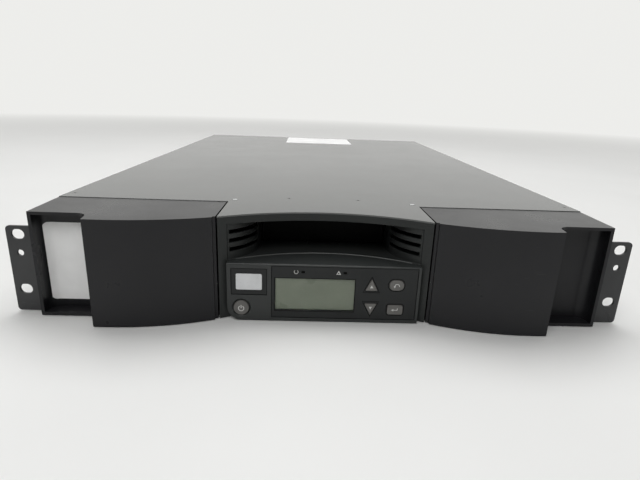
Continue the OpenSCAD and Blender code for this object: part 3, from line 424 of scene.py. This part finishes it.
def smoked_lid():
    """See-through grey plastic of a magazine's lid."""
    return (Finish("smoked_lid", (0.3, 0.33, 0.35), 0.1)
            .mottle(25, 0.08).vary_roughness(12, 0.03).grain(60, 0.00001)
            .set(Transmission_Weight=0.85, IOR=1.12)).material


def smoked_lens():
    """Nearly black window over an unlit lamp."""
    return (Finish("smoked_lens", (0.002, 0.0025, 0.002), 0.4)
            .mottle(200, 0.1).vary_roughness(80, 0.05).grain(3000, 0.00001).set(IOR=1.15)).material


def circuit_green():
    return (Finish("circuit_green", (0.02, 0.11, 0.045), 0.35)
            .mottle(120, 0.3).vary_roughness(150, 0.1).grain(900, 0.00005)).material


def toothed_rubber():
    finish = Finish("toothed_rubber", (0.02, 0.02, 0.02), 0.65)
    return finish.mottle(80, 0.2).vary_roughness(90, 0.08).grain(1800, 0.00006).material


def label_paper():
    """Matt label stock, a little yellowed and handled."""
    return (Finish("label_paper", (0.91, 0.91, 0.9), 0.55)
            .mottle(25, 0.05).specks(220, 0.04, (0.45, 0.45, 0.43), 0.35)
            .vary_roughness(60, 0.05).grain(1800, 0.00002)).material


# ink of the printed signs, and black of the painted shadow lines
def print_and_painted_shade_ink(name, colour, roughness=0.5, ior=1.5):
    return (Finish(name, colour, roughness)
            .mottle(400, 0.1).vary_roughness(400, 0.05).grain(4000, 0.000005).set(IOR=ior)).material


MATERIALS = {
    "cover_paint": charcoal_paint(),
    "ear_paint": ear_paint(),
    "bezel_plastic": moulded_charcoal("bezel_plastic", (0.0128, 0.0128, 0.0143), 0.3, 1.36),
    "centre_plastic": moulded_charcoal("centre_plastic", (0.025, 0.0272, 0.0262), 0.4),
    "panel_plastic": moulded_charcoal("panel_plastic", (0.028, 0.031, 0.03), 0.34, 1.45),
    # lighter than panel_plastic: painted highlight along the bead
    "bead_painted_highlight": moulded_charcoal("bead_painted_highlight", (0.062, 0.066, 0.063), 0.3, 1.6),
    "overlay_film": printed_film(),
    "zinc_steel": zinc_sheet(),
    "black_screw": black_oxide(),
    "bright_rivet": satin_metal("bright_rivet", (0.72, 0.73, 0.74), 0.3),
    "display_glass": clear_window(),
    "display_film": crystal_film(),
    "light_lens": smoked_lens(),
    "flap_plastic": moulded_charcoal("flap_plastic", (0.005, 0.005, 0.005), 0.6, 1.2),
    "badge_metal": satin_metal("badge_metal", (0.62, 0.63, 0.64), 0.34, (1, 1, 20)),
    "key_plastic": plain_plastic("key_plastic", (0.132, 0.128, 0.12), 0.4, 0.00004),
    "board": circuit_green(),
    "black_plastic": plain_plastic("black_plastic", (0.008, 0.008, 0.008), 0.5),
    "magazine_plastic": moulded_charcoal("magazine_plastic", (0.04, 0.041, 0.044), 0.5),
    "lid_plastic": smoked_lid(),
    "carrier_plastic": plain_plastic("carrier_plastic", (0.4, 0.41, 0.4), 0.5),
    "cartridge_plastic": plain_plastic("cartridge_plastic", (0.02, 0.022, 0.025), 0.48, 0.00005),
    "belt_rubber": toothed_rubber(),
    "gear_plastic": plain_plastic("gear_plastic", (0.62, 0.6, 0.52), 0.42),
    "motor_metal": satin_metal("motor_metal", (0.5, 0.51, 0.52), 0.36),
    "picker_metal": satin_metal("picker_metal", (0.55, 0.56, 0.58), 0.38, (1, 12, 1)),
    "drive_metal": satin_metal("drive_metal", (0.5, 0.51, 0.52), 0.42, (1, 12, 1)),
    "port_metal": satin_metal("port_metal", (0.66, 0.66, 0.65), 0.3),
    "label_paper": label_paper(),
    "print_white": print_and_painted_shade_ink("print_white", (0.62, 0.62, 0.6)),
    # black of the painted shadow lines round the keys, the film, the display and the badge
    "painted_shade_black": print_and_painted_shade_ink("painted_shade_black", (0.005, 0.005, 0.005), 0.85, 1.12),
}

OWN_MATERIAL = {        # nodes that don't look like the rest of their slot
    "centre_bezel": "centre_plastic", "mail_slot_flap": "flap_plastic", "cover_screws": "cover_paint",
}


def dress_construction():
    """Every node of the construction gets the material of its slot."""
    for part in frame["record"]["subparts"]:
        node = part["node"]
        material = MATERIALS[OWN_MATERIAL.get(node, part["material_slot"])]
        for slot in NODES[node].material_slots:
            slot.material = material


# ---------------------------------------------------------------- finished copies of what shows

EDGES = {               # how far a node's edges are rounded, in mm
    "top_cover": 0.35, "left_bezel": 0.7, "right_bezel": 0.7, "centre_bezel": 0.55,
    "panel_housing": 0.6, "left_rack_ear": 0.35, "right_rack_ear": 0.35,
    "badge_plate": 0.12, "mail_slot_flap": 0.3,
    "power_button": 0.6, "up_button": 0.45, "down_button": 0.45, "cancel_button": 0.6, "enter_button": 0.5,
}


NEAR = 0.2 * MM             # how far a corner may lie from its place
SEAM_DROP = 0.45 * MM       # how far a magazine bezel's top lies below the cover's edge at their seam
CORNER_R = 8 * MM           # the construction's radius at the panel housing's lower left corner
FULL_CORNER_R = 11 * MM     # the finished radius there
HOOD_BAND = 2.2 * MM        # height that holds the panel housing's sloping top
LIP_BAND = 1.0 * MM         # height that holds a magazine bezel's upper edges
LIP_DEPTH = 6 * MM          # how far in front of the cover those edges begin


def cover_edge(a, b):
    """The cover's front edge beside the tongue, where it meets the magazine bezels."""
    return (max(abs(a.y - COVER_FRONT), abs(b.y - COVER_FRONT)) < NEAR
            and min(a.z, b.z) > COVER_TOP - NEAR / 2)


def hood_edge(a, b):
    """The outline of the panel housing's sloping top."""
    return min(a.z, b.z) > HOOD_TOP - HOOD_BAND


def lip_edge(a, b):
    """A magazine bezel's upper front edges."""
    return min(a.z, b.z) > COVER_TOP - LIP_BAND and min(a.y, b.y) < COVER_FRONT - LIP_DEPTH


def open_seam(bezel):
    """Lets a magazine bezel's top fall a little towards the cover, whose edge then stands proud."""
    front = min(vertex.co.y for vertex in bezel.data.vertices)
    pick_vertices(bezel, lambda point: point.z > COVER_TOP - NEAR)
    bpy.ops.transform.rotate(value=math.atan(SEAM_DROP / (COVER_FRONT - front)), orient_axis="X",
                             center_override=(0, front, COVER_TOP))
    bpy.ops.object.mode_set(mode="OBJECT")


def round_corner(housing):
    """Gives the panel housing's lower left corner its full radius."""
    low = Vector(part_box("panel_housing")[0])
    arc = low + Vector((CORNER_R, 0, CORNER_R))     # middle of the corner's arc
    pick_vertices(housing, lambda point: (
        point.x < arc.x + NEAR / 10 and point.z < arc.z + NEAR / 10
        and abs(math.hypot(point.x - arc.x, point.z - arc.z) - CORNER_R) < 0.35 * MM))
    grown = FULL_CORNER_R / CORNER_R
    bpy.ops.transform.resize(value=(grown, 1, grown), center_override=low)
    bpy.ops.object.mode_set(mode="OBJECT")


RESHAPE = {"left_bezel": open_seam, "right_bezel": open_seam, "panel_housing": round_corner}
GENEROUS = {            # a wider radius, and the edges of the node that have it
    "top_cover": (0.5 * MM, cover_edge), "panel_housing": (1.0 * MM, hood_edge),
    "left_bezel": (1.0 * MM, lip_edge), "right_bezel": (1.0 * MM, lip_edge),
}


def finish_visible_nodes():
    """Replaces what shows by finished copies."""
    for node, width in EDGES.items():
        soften(node, width * MM, GENEROUS.get(node), RESHAPE.get(node))


HOLLOW_R = 161.6        # radius of the bead's arc, along the hollow front of the centre column, in mm
HOLLOW_Y = -146.1       # the arc's middle, counted like at() does
HOOD_SLOPE = 4.4        # slope of the panel housing's top, in degrees
HOOD_FRONT = 47.7       # height of that top at the front
BEAD_R = 0.62           # radius of the bead
BEAD_REACH = 25.2       # how far it goes to either side, in degrees


def hood_bead():
    """Rounded bead along the hollow edge where the panel housing meets the mail slot, lighter than the
    housing as a painted highlight.
    """
    reach = math.radians(BEAD_REACH)
    start_fresh()
    bpy.ops.mesh.primitive_circle_add(vertices=10, radius=BEAD_R * MM, rotation=(0, math.radians(90), 0))
    bead = settle(named("hood_bead"))
    bpy.ops.object.mode_set(mode="EDIT")
    bpy.ops.mesh.select_all(action="SELECT")
    bpy.ops.transform.translate(value=(0, HOLLOW_R * MM, 0))
    bpy.ops.transform.rotate(value=-reach, orient_axis="Z", center_override=(0, 0, 0))
    bpy.ops.mesh.spin(steps=64, angle=2 * reach, center=(0, 0, 0), axis=(0, 0, 1))
    bpy.ops.mesh.select_all(action="SELECT")
    bpy.ops.mesh.remove_doubles(threshold=1e-6)
    bpy.ops.mesh.select_mode(type="EDGE")
    bpy.ops.mesh.select_all(action="DESELECT")
    bpy.ops.mesh.select_non_manifold()
    bpy.ops.mesh.edge_face_add()
    bpy.ops.mesh.select_all(action="SELECT")
    bpy.ops.mesh.normals_make_consistent(inside=False)
    bpy.ops.object.mode_set(mode="OBJECT")
    front = front_of("panel_housing")
    bead.location = (0, (HOLLOW_Y - front) * MM, 0)
    settle(bead)
    bead.rotation_euler = (math.radians(HOOD_SLOPE), 0, 0)
    bead.location = at(0, front, HOOD_FRONT)
    settle(bead)
    shade(bead, 50)
    fit_to(bead, "chassis", "bead_painted_highlight")


# ---------------------------------------------------------------- flat outlines

def rectangle(width, height):
    """A flat rectangle with its middle at the origin; sizes in mm, as in the outlines below."""
    start_fresh()
    bpy.ops.mesh.primitive_plane_add(size=MM)
    bpy.ops.transform.resize(value=(width, height, 1))
    return settle(bpy.context.object)


def rounded_rectangle(width, height, corner):
    """A flat rectangle at the origin with round corners."""
    piece = rectangle(width, height)
    bpy.ops.object.mode_set(mode="EDIT")
    bpy.ops.mesh.select_all(action="SELECT")
    bpy.ops.mesh.bevel(offset=corner * MM, segments=8, affect="VERTICES")
    bpy.ops.object.mode_set(mode="OBJECT")
    return piece


def disc(radius, sides, turn=0.0):
    """A flat disc or polygon at the origin, its first corner up before it is turned."""
    start_fresh()
    bpy.ops.mesh.primitive_circle_add(vertices=sides, radius=radius * MM, fill_type="NGON",
                                      rotation=(0, 0, math.radians(turn)))
    return settle(bpy.context.object)


def triangle(width, height, tip_up):
    """A flat triangle with the middle of its height at the origin."""
    piece = disc(1, 3, 0 if tip_up else 180)    # 1.5 high, the root of 3 wide, its middle 0.25 off
    bpy.ops.object.mode_set(mode="EDIT")
    bpy.ops.mesh.select_all(action="SELECT")
    bpy.ops.transform.translate(value=(0, (-0.25 if tip_up else 0.25) * MM, 0))
    bpy.ops.transform.resize(value=(width / 3 ** 0.5, height / 1.5, 1), center_override=(0, 0, 0))
    bpy.ops.object.mode_set(mode="OBJECT")
    return piece


def hollow_out(piece, width):
    """Leaves only a band of a flat outline, along its edge."""
    take(piece)
    bpy.ops.object.mode_set(mode="EDIT")
    bpy.ops.mesh.select_mode(type="FACE")
    bpy.ops.mesh.select_all(action="SELECT")
    bpy.ops.mesh.inset(thickness=width * MM, depth=0)
    bpy.ops.mesh.delete(type="FACE")
    bpy.ops.object.mode_set(mode="OBJECT")
    return piece


def rounded_plate(name, low, high, corner, thickness_axis):
    """A thin plate between two corners, its outline rounded in its own plane."""
    start_fresh()
    bpy.ops.mesh.primitive_cube_add(size=1, location=(low + high) / 2, scale=high - low)
    piece = settle(named(name))
    bpy.ops.object.mode_set(mode="EDIT")
    bpy.ops.mesh.select_mode(type="EDGE")
    bpy.ops.mesh.select_all(action="DESELECT")
    bpy.ops.object.mode_set(mode="OBJECT")
    for edge in piece.data.edges:
        a, b = (piece.data.vertices[i].co for i in edge.vertices)
        edge.select = abs((b - a).normalized()[thickness_axis]) > 0.99
    bpy.ops.object.mode_set(mode="EDIT")
    bpy.ops.mesh.bevel(offset=corner * MM, segments=6)
    bpy.ops.object.mode_set(mode="OBJECT")
    return piece


# ---------------------------------------------------------------- labels

LABEL_X = (-214.6, -160.5)      # the recess label's sides, in mm
LABEL_Z = (9.2, 72.6)           # its lower and upper edge
LABEL_START = -4                # where it stands, behind the rack ears, before it is laid on the wall
LABEL_CUTS = 12                 # cuts that let its left end bend
CUT_STEP = 0.9                  # from one cut to the next
STOCK_T = 0.1                   # thickness of label stock
LABEL_GAP = 0.06                # between the stock and the wall


def recess_label():
    """Bare paper label on the back wall of the left finger recess."""
    (left, right), (low, high) = LABEL_X, LABEL_Z
    label = rounded_rectangle(right - left, high - low, 3)
    named("recess_label")
    for cut in range(1, LABEL_CUTS + 1):
        bpy.ops.object.mode_set(mode="EDIT")
        bpy.ops.mesh.select_all(action="SELECT")
        bpy.ops.mesh.bisect(plane_co=(((left - right) / 2 + cut * CUT_STEP) * MM, 0, 0), plane_no=(1, 0, 0))
        bpy.ops.object.mode_set(mode="OBJECT")
    label.rotation_euler = (math.radians(90), 0, 0)
    label.location = at((left + right) / 2, LABEL_START, (low + high) / 2)
    settle(label)
    wrap = label.modifiers.new("lie_on_wall", "SHRINKWRAP")
    wrap.target = bpy.data.objects["left_bezel_finished"]
    wrap.wrap_method = "PROJECT"
    wrap.use_project_y = True
    wrap.use_negative_direction = False
    wrap.use_positive_direction = True
    wrap.offset = LABEL_GAP * MM
    stock = label.modifiers.new("label_stock", "SOLIDIFY")
    stock.thickness = STOCK_T * MM
    stock.offset = 1
    apply_modifiers(label)
    shade(label, 40)
    fit_to(label, "left_magazine", "label_paper")


def cover_label():
    """Bare paper label near the back of the cover."""
    left, right, front, back = -58, 70, -127, -10    # front and back counted from the cover's back edge
    lift, stock = 0.02, 0.12
    edge, top = (COVER_BACK - RACK_Y) / MM, COVER_TOP / MM
    label = rounded_plate("cover_label", at(left, edge + front, top + lift),
                          at(right, edge + back, top + lift + stock), 2, 2)
    fit_to(label, "chassis", "label_paper")


# ---------------------------------------------------------------- printed and moulded signs

SIGN_T = 0.05       # thickness of a printed or moulded sign, in mm


def sign_from(outline, x, y, z, name, body, material="print_white"):
    """Turns a flat outline made at the origin to face the front, gives it its thickness and places it."""
    take(outline)
    outline.name = outline.data.name = name
    bpy.ops.object.mode_set(mode="EDIT")
    bpy.ops.mesh.select_all(action="SELECT")
    bpy.ops.mesh.extrude_region_move(TRANSFORM_OT_translate={"value": (0, 0, SIGN_T * MM)})
    bpy.ops.mesh.select_all(action="SELECT")
    bpy.ops.mesh.normals_make_consistent(inside=False)
    bpy.ops.object.mode_set(mode="OBJECT")
    outline.rotation_euler = (math.radians(90), 0, 0)
    outline.location = at(x, y, z)
    return fit_to(outline, body, material)


def ring_sign(name, x, y, z, body, radius, width, open_from, open_to):
    """A printed ring, open between two angles counted from the right."""
    ring = hollow_out(disc(radius + width / 2, 48), width)
    for face in ring.data.polygons:
        angle = math.degrees(math.atan2(face.center.y, face.center.x)) % 360
        face.select = open_from < angle < open_to
    bpy.ops.object.mode_set(mode="EDIT")
    bpy.ops.mesh.delete(type="FACE")
    bpy.ops.object.mode_set(mode="OBJECT")
    return sign_from(ring, x, y, z, name, body)


def triangle_sign(name, x, y, z, body, size, turn):
    """A printed triangle with its tip up, turned anticlockwise by a number of degrees."""
    return sign_from(disc(size, 3, turn), x, y, z, name, body)


def bar_sign(name, x, y, z, body, width, height):
    """A printed upright or level stroke."""
    return sign_from(rectangle(width, height), x, y, z, name, body)


def power_sign(name, x, y, z, body, radius, width):
    """The usual power sign: an open ring with a stroke through its gap."""
    ring_sign(name + "_ring", x, y, z, body, radius, width, open_from=58, open_to=122)
    bar_sign(name + "_stroke", x, y, z + radius * 0.72, body, width, radius * 1.25)


def painted_shade_frame(name, x0, x1, z0, z1, y, width):
    """A thin dark line of painted shadow round a rectangle on the panel's face."""
    shade_outline = hollow_out(rectangle(x1 - x0, z1 - z0), width)
    return sign_from(shade_outline, (x0 + x1) / 2, y, (z0 + z1) / 2, name, "chassis", "painted_shade_black")


MARGIN_LINE = 0.35          # width of the line round a key, in mm
KEY_INSET = 0.6             # how much narrower the margin is than the key's flange behind the film
TIP_INSET = 0.14            # the same for a triangular key


def margin_size(node, inset):
    """Width and height of the margin round a key, in mm."""
    low, high = corners_of(node)
    return high.x - low.x - inset, high.z - low.z - inset


def key_shade_line(node, outline):
    """A dark line of painted shadow round a key, cut from a flat outline."""
    centre = middle_of(node)
    sign_from(hollow_out(outline, MARGIN_LINE), centre.x, front_of("panel_overlay"), centre.z,
              node + "_margin", "chassis", "painted_shade_black")


def painted_key_shadows():
    """Painted shadow in the gaps round the keys, as dark lines on the film."""
    for node, tip_up in (("up_button", True), ("down_button", False)):
        width, height = margin_size(node, TIP_INSET)
        key_shade_line(node, triangle(width, height, tip_up))
    for node, corner in (("cancel_button", 4.7), ("enter_button", 2.4)):
        width, height = margin_size(node, KEY_INSET)
        corner = min(corner, height / 2 - 0.02)     # a fuller corner would close the short sides
        key_shade_line(node, rounded_rectangle(width, height, corner))


BED_X, BED_Z = 13.8, 10.8       # half width and half height of the badge's bed, in mm
BED_DEPTH = 0.5                 # how far its back lies behind the panel housing's front
BED_T = 0.05                    # its thickness


def panel_lines():
    """Painted shadow: dark lines round the film, the display and the badge's place, where their edges lie in
    shade.
    """
    face = front_of("panel_overlay")
    low, high = corners_of("panel_overlay")
    inset = 0.05
    painted_shade_frame("film_edge_painted_shade", low.x + inset, high.x - inset, low.z + inset, high.z - inset, face, width=0.35)
    low, high = corners_of("display_window")
    painted_shade_frame("display_edge_painted_shade", low.x - 0.75, high.x + 0.5, low.z - 1.0, high.z + 0.5, face, width=0.5)
    badge = middle_of("badge_plate")
    back = front_of("panel_housing") + BED_DEPTH
    bed = rounded_plate("badge_bed", at(badge.x - BED_X, back - BED_T, badge.z - BED_Z),
                        at(badge.x + BED_X, back, badge.z + BED_Z), 0.4, 1)
    fit_to(bed, "chassis", "overlay_film")
    side, top = BED_X + 0.1, BED_Z + 0.1
    painted_shade_frame("badge_edge_painted_shade", badge.x - side, badge.x + side, badge.z - top, badge.z + top, back - BED_T,
               width=0.4)


def signs():
    """The signs on the keys and beside the lights."""
    cap = front_of("power_button")
    film = front_of("panel_overlay")
    power, up, down, cancel, enter = (middle_of(key) for key in (
        "power_button", "up_button", "down_button", "cancel_button", "enter_button"))
    low, high = corners_of("status_lights")
    lights_z = (low.z + high.z) / 2
    power_sign("power_sign", power.x, cap, power.z - 0.4, "power_button", radius=2.1, width=0.65)
    ring_sign("ready_sign", low.x - 3.8, film, lights_z + 0.1, "chassis",
              radius=1.5, width=0.38, open_from=55, open_to=125)
    notice = hollow_out(disc(2.1, 3), 0.55)
    sign_from(notice, high.x - 6.7, film, lights_z - 0.3, "notice_sign", "chassis")
    triangle_sign("up_sign", up.x, cap, up.z - 1.7, "up_button", size=1.5, turn=0)
    triangle_sign("down_sign", down.x, cap, down.z + 1.7, "down_button", size=1.5, turn=180)
    ring_sign("cancel_arc", cancel.x + 0.2, cap, cancel.z - 0.5, "cancel_button",
              radius=1.8, width=0.55, open_from=190, open_to=350)
    triangle_sign("cancel_tip", cancel.x - 1.7, cap, cancel.z - 0.9, "cancel_button", size=1.1, turn=180)
    bar_sign("enter_bar", enter.x + 0.4, cap, enter.z, "enter_button", width=3.4, height=0.55)
    bar_sign("enter_rise", enter.x + 1.85, cap, enter.z + 0.8, "enter_button", width=0.55, height=1.7)
    triangle_sign("enter_tip", enter.x - 1.8, cap, enter.z, "enter_button", size=1.3, turn=90)


# ---------------------------------------------------------------- studio and camera

PALE = (0.85, 0.85, 0.83)       # the surroundings, as they are seen
AMBIENT = 0.15                  # what they give as light
FADE = (0.9, 3.2)               # where the floor begins and ends to fade, in metres from the middle
FLOOR_SIZE = 40
FLOOR_GAP = 0.2 * MM            # the floor lies this far below the underside
EYE_PLACE = (-0.01562, -0.68521, 0.17014)
EYE_TURN = (72.826, -2.032, -1.299)     # in degrees
LENS = 25.933                   # on a sensor 36 mm wide
SENSOR = 36


def floor_material():
    """Pale floor that fades, far from the object, into the same pale tone as the surroundings."""
    finish = Finish("pale_floor", (0.84, 0.84, 0.825), 0.55).mottle(3, 0.015).vary_roughness(4, 0.04)
    distance = finish.add("ShaderNodeVectorMath", operation="LENGTH")
    finish.link(finish.coordinates, distance.inputs[0])
    far = finish.ramp(distance.outputs["Value"], *FADE)
    path = finish.add("ShaderNodeLightPath")
    seen = finish.add("ShaderNodeMath", operation="MAXIMUM")
    finish.link(path.outputs["Is Camera Ray"], seen.inputs[0])
    finish.link(path.outputs["Is Glossy Ray"], seen.inputs[1])
    share = finish.add("ShaderNodeMath", operation="MULTIPLY")
    finish.link(far, share.inputs[0])
    finish.link(seen.outputs[0], share.inputs[1])
    glow = finish.add("ShaderNodeEmission")
    glow.inputs["Color"].default_value = (*PALE, 1)
    mix = finish.add("ShaderNodeMixShader")
    finish.link(share.outputs[0], mix.inputs["Fac"])
    finish.link(finish.shader.outputs[0], mix.inputs[1])
    finish.link(glow.outputs[0], mix.inputs[2])
    finish.link(mix.outputs[0], finish.tree.nodes["Material Output"].inputs["Surface"])
    return finish.material


def surroundings():
    """Dim all-round light; pale where it is seen, and reflected pale from behind the object."""
    world = bpy.context.scene.world or bpy.data.worlds.new("studio")
    bpy.context.scene.world = world
    world.use_nodes = True
    tree = world.node_tree
    tree.nodes.clear()

    def add(kind, **values):
        node = tree.nodes.new(kind)
        for key, value in values.items():
            setattr(node, key, value)
        return node

    out = add("ShaderNodeOutputWorld")
    light = add("ShaderNodeBackground")
    light.inputs["Color"].default_value = (0.98, 0.99, 1.0, 1)
    light.inputs["Strength"].default_value = AMBIENT
    mirrored = add("ShaderNodeBackground")
    mirrored.inputs["Color"].default_value = (*PALE, 1)
    shown = add("ShaderNodeBackground")
    shown.inputs["Color"].default_value = (*PALE, 1)
    way = add("ShaderNodeTexCoord")
    split = add("ShaderNodeSeparateXYZ")
    tree.links.new(way.outputs["Generated"], split.inputs[0])
    behind = add("ShaderNodeMapRange")
    behind.inputs["From Min"].default_value = -0.35
    behind.inputs["From Max"].default_value = 0.55
    behind.inputs["To Min"].default_value = AMBIENT
    behind.inputs["To Max"].default_value = 1.0
    tree.links.new(split.outputs["Y"], behind.inputs["Value"])
    tree.links.new(behind.outputs["Result"], mirrored.inputs["Strength"])
    path = add("ShaderNodeLightPath")
    either = add("ShaderNodeMath", operation="MAXIMUM")
    tree.links.new(path.outputs["Is Glossy Ray"], either.inputs[0])
    tree.links.new(path.outputs["Is Transmission Ray"], either.inputs[1])
    first = add("ShaderNodeMixShader")
    tree.links.new(either.outputs[0], first.inputs["Fac"])
    tree.links.new(light.outputs[0], first.inputs[1])
    tree.links.new(mirrored.outputs[0], first.inputs[2])
    second = add("ShaderNodeMixShader")
    tree.links.new(path.outputs["Is Camera Ray"], second.inputs["Fac"])
    tree.links.new(first.outputs[0], second.inputs[1])
    tree.links.new(shown.outputs[0], second.inputs[2])
    tree.links.new(second.outputs[0], out.inputs["Surface"])


def lamp(name, place, aim, size, energy):
    """A soft rectangular lamp aimed at a point."""
    data = bpy.data.lights.new(name, "AREA")
    data.shape = "RECTANGLE"
    data.size, data.size_y = size
    data.energy = energy
    lamp_object = bpy.data.objects.new(name, data)
    lamp_object.location = place
    lamp_object.rotation_euler = (Vector(aim) - Vector(place)).to_track_quat("-Z", "Y").to_euler()
    bpy.context.scene.collection.objects.link(lamp_object)


def studio():
    """Pale floor and surroundings, with soft light from above and a little behind."""
    start_fresh()
    bpy.ops.mesh.primitive_plane_add(size=FLOOR_SIZE, location=(0, 0, -FLOOR_GAP))
    floor = settle(named("floor"))
    paint_piece(floor, floor_material())
    surroundings()
    lamp("ceiling_light", (0.0, 0.5, 1.9), aim=(0.0, 0.1, 0), size=(2.2, 1.4), energy=30)
    lamp("front_fill", (-0.3, -1.6, 1.7), aim=(0, -0.3, 0.04), size=(1.8, 1.0), energy=19)
    lamp("left_fill", (-2.5, 0.5, 1.1), aim=(0, 0, 0.04), size=(1.0, 1.0), energy=5)
    lamp("right_fill", (2.5, 0.5, 1.1), aim=(0, 0, 0.04), size=(1.0, 1.0), energy=4)


def camera():
    """Looks at the front from a little above, slightly left of the middle."""
    data = bpy.data.cameras.new("camera")
    data.sensor_width = SENSOR
    data.lens = LENS
    data.clip_start = 0.01
    eye = bpy.data.objects.new("camera", data)
    eye.location = EYE_PLACE
    eye.rotation_euler = Euler([math.radians(a) for a in EYE_TURN])
    bpy.context.scene.collection.objects.link(eye)
    bpy.context.scene.camera = eye


camera()
studio()
dress_construction()
finish_visible_nodes()
hood_bead()
recess_label()
cover_label()
panel_lines()
painted_key_shadows()
signs()

bpy.context.scene.view_settings.view_transform = "Standard"
start_fresh()
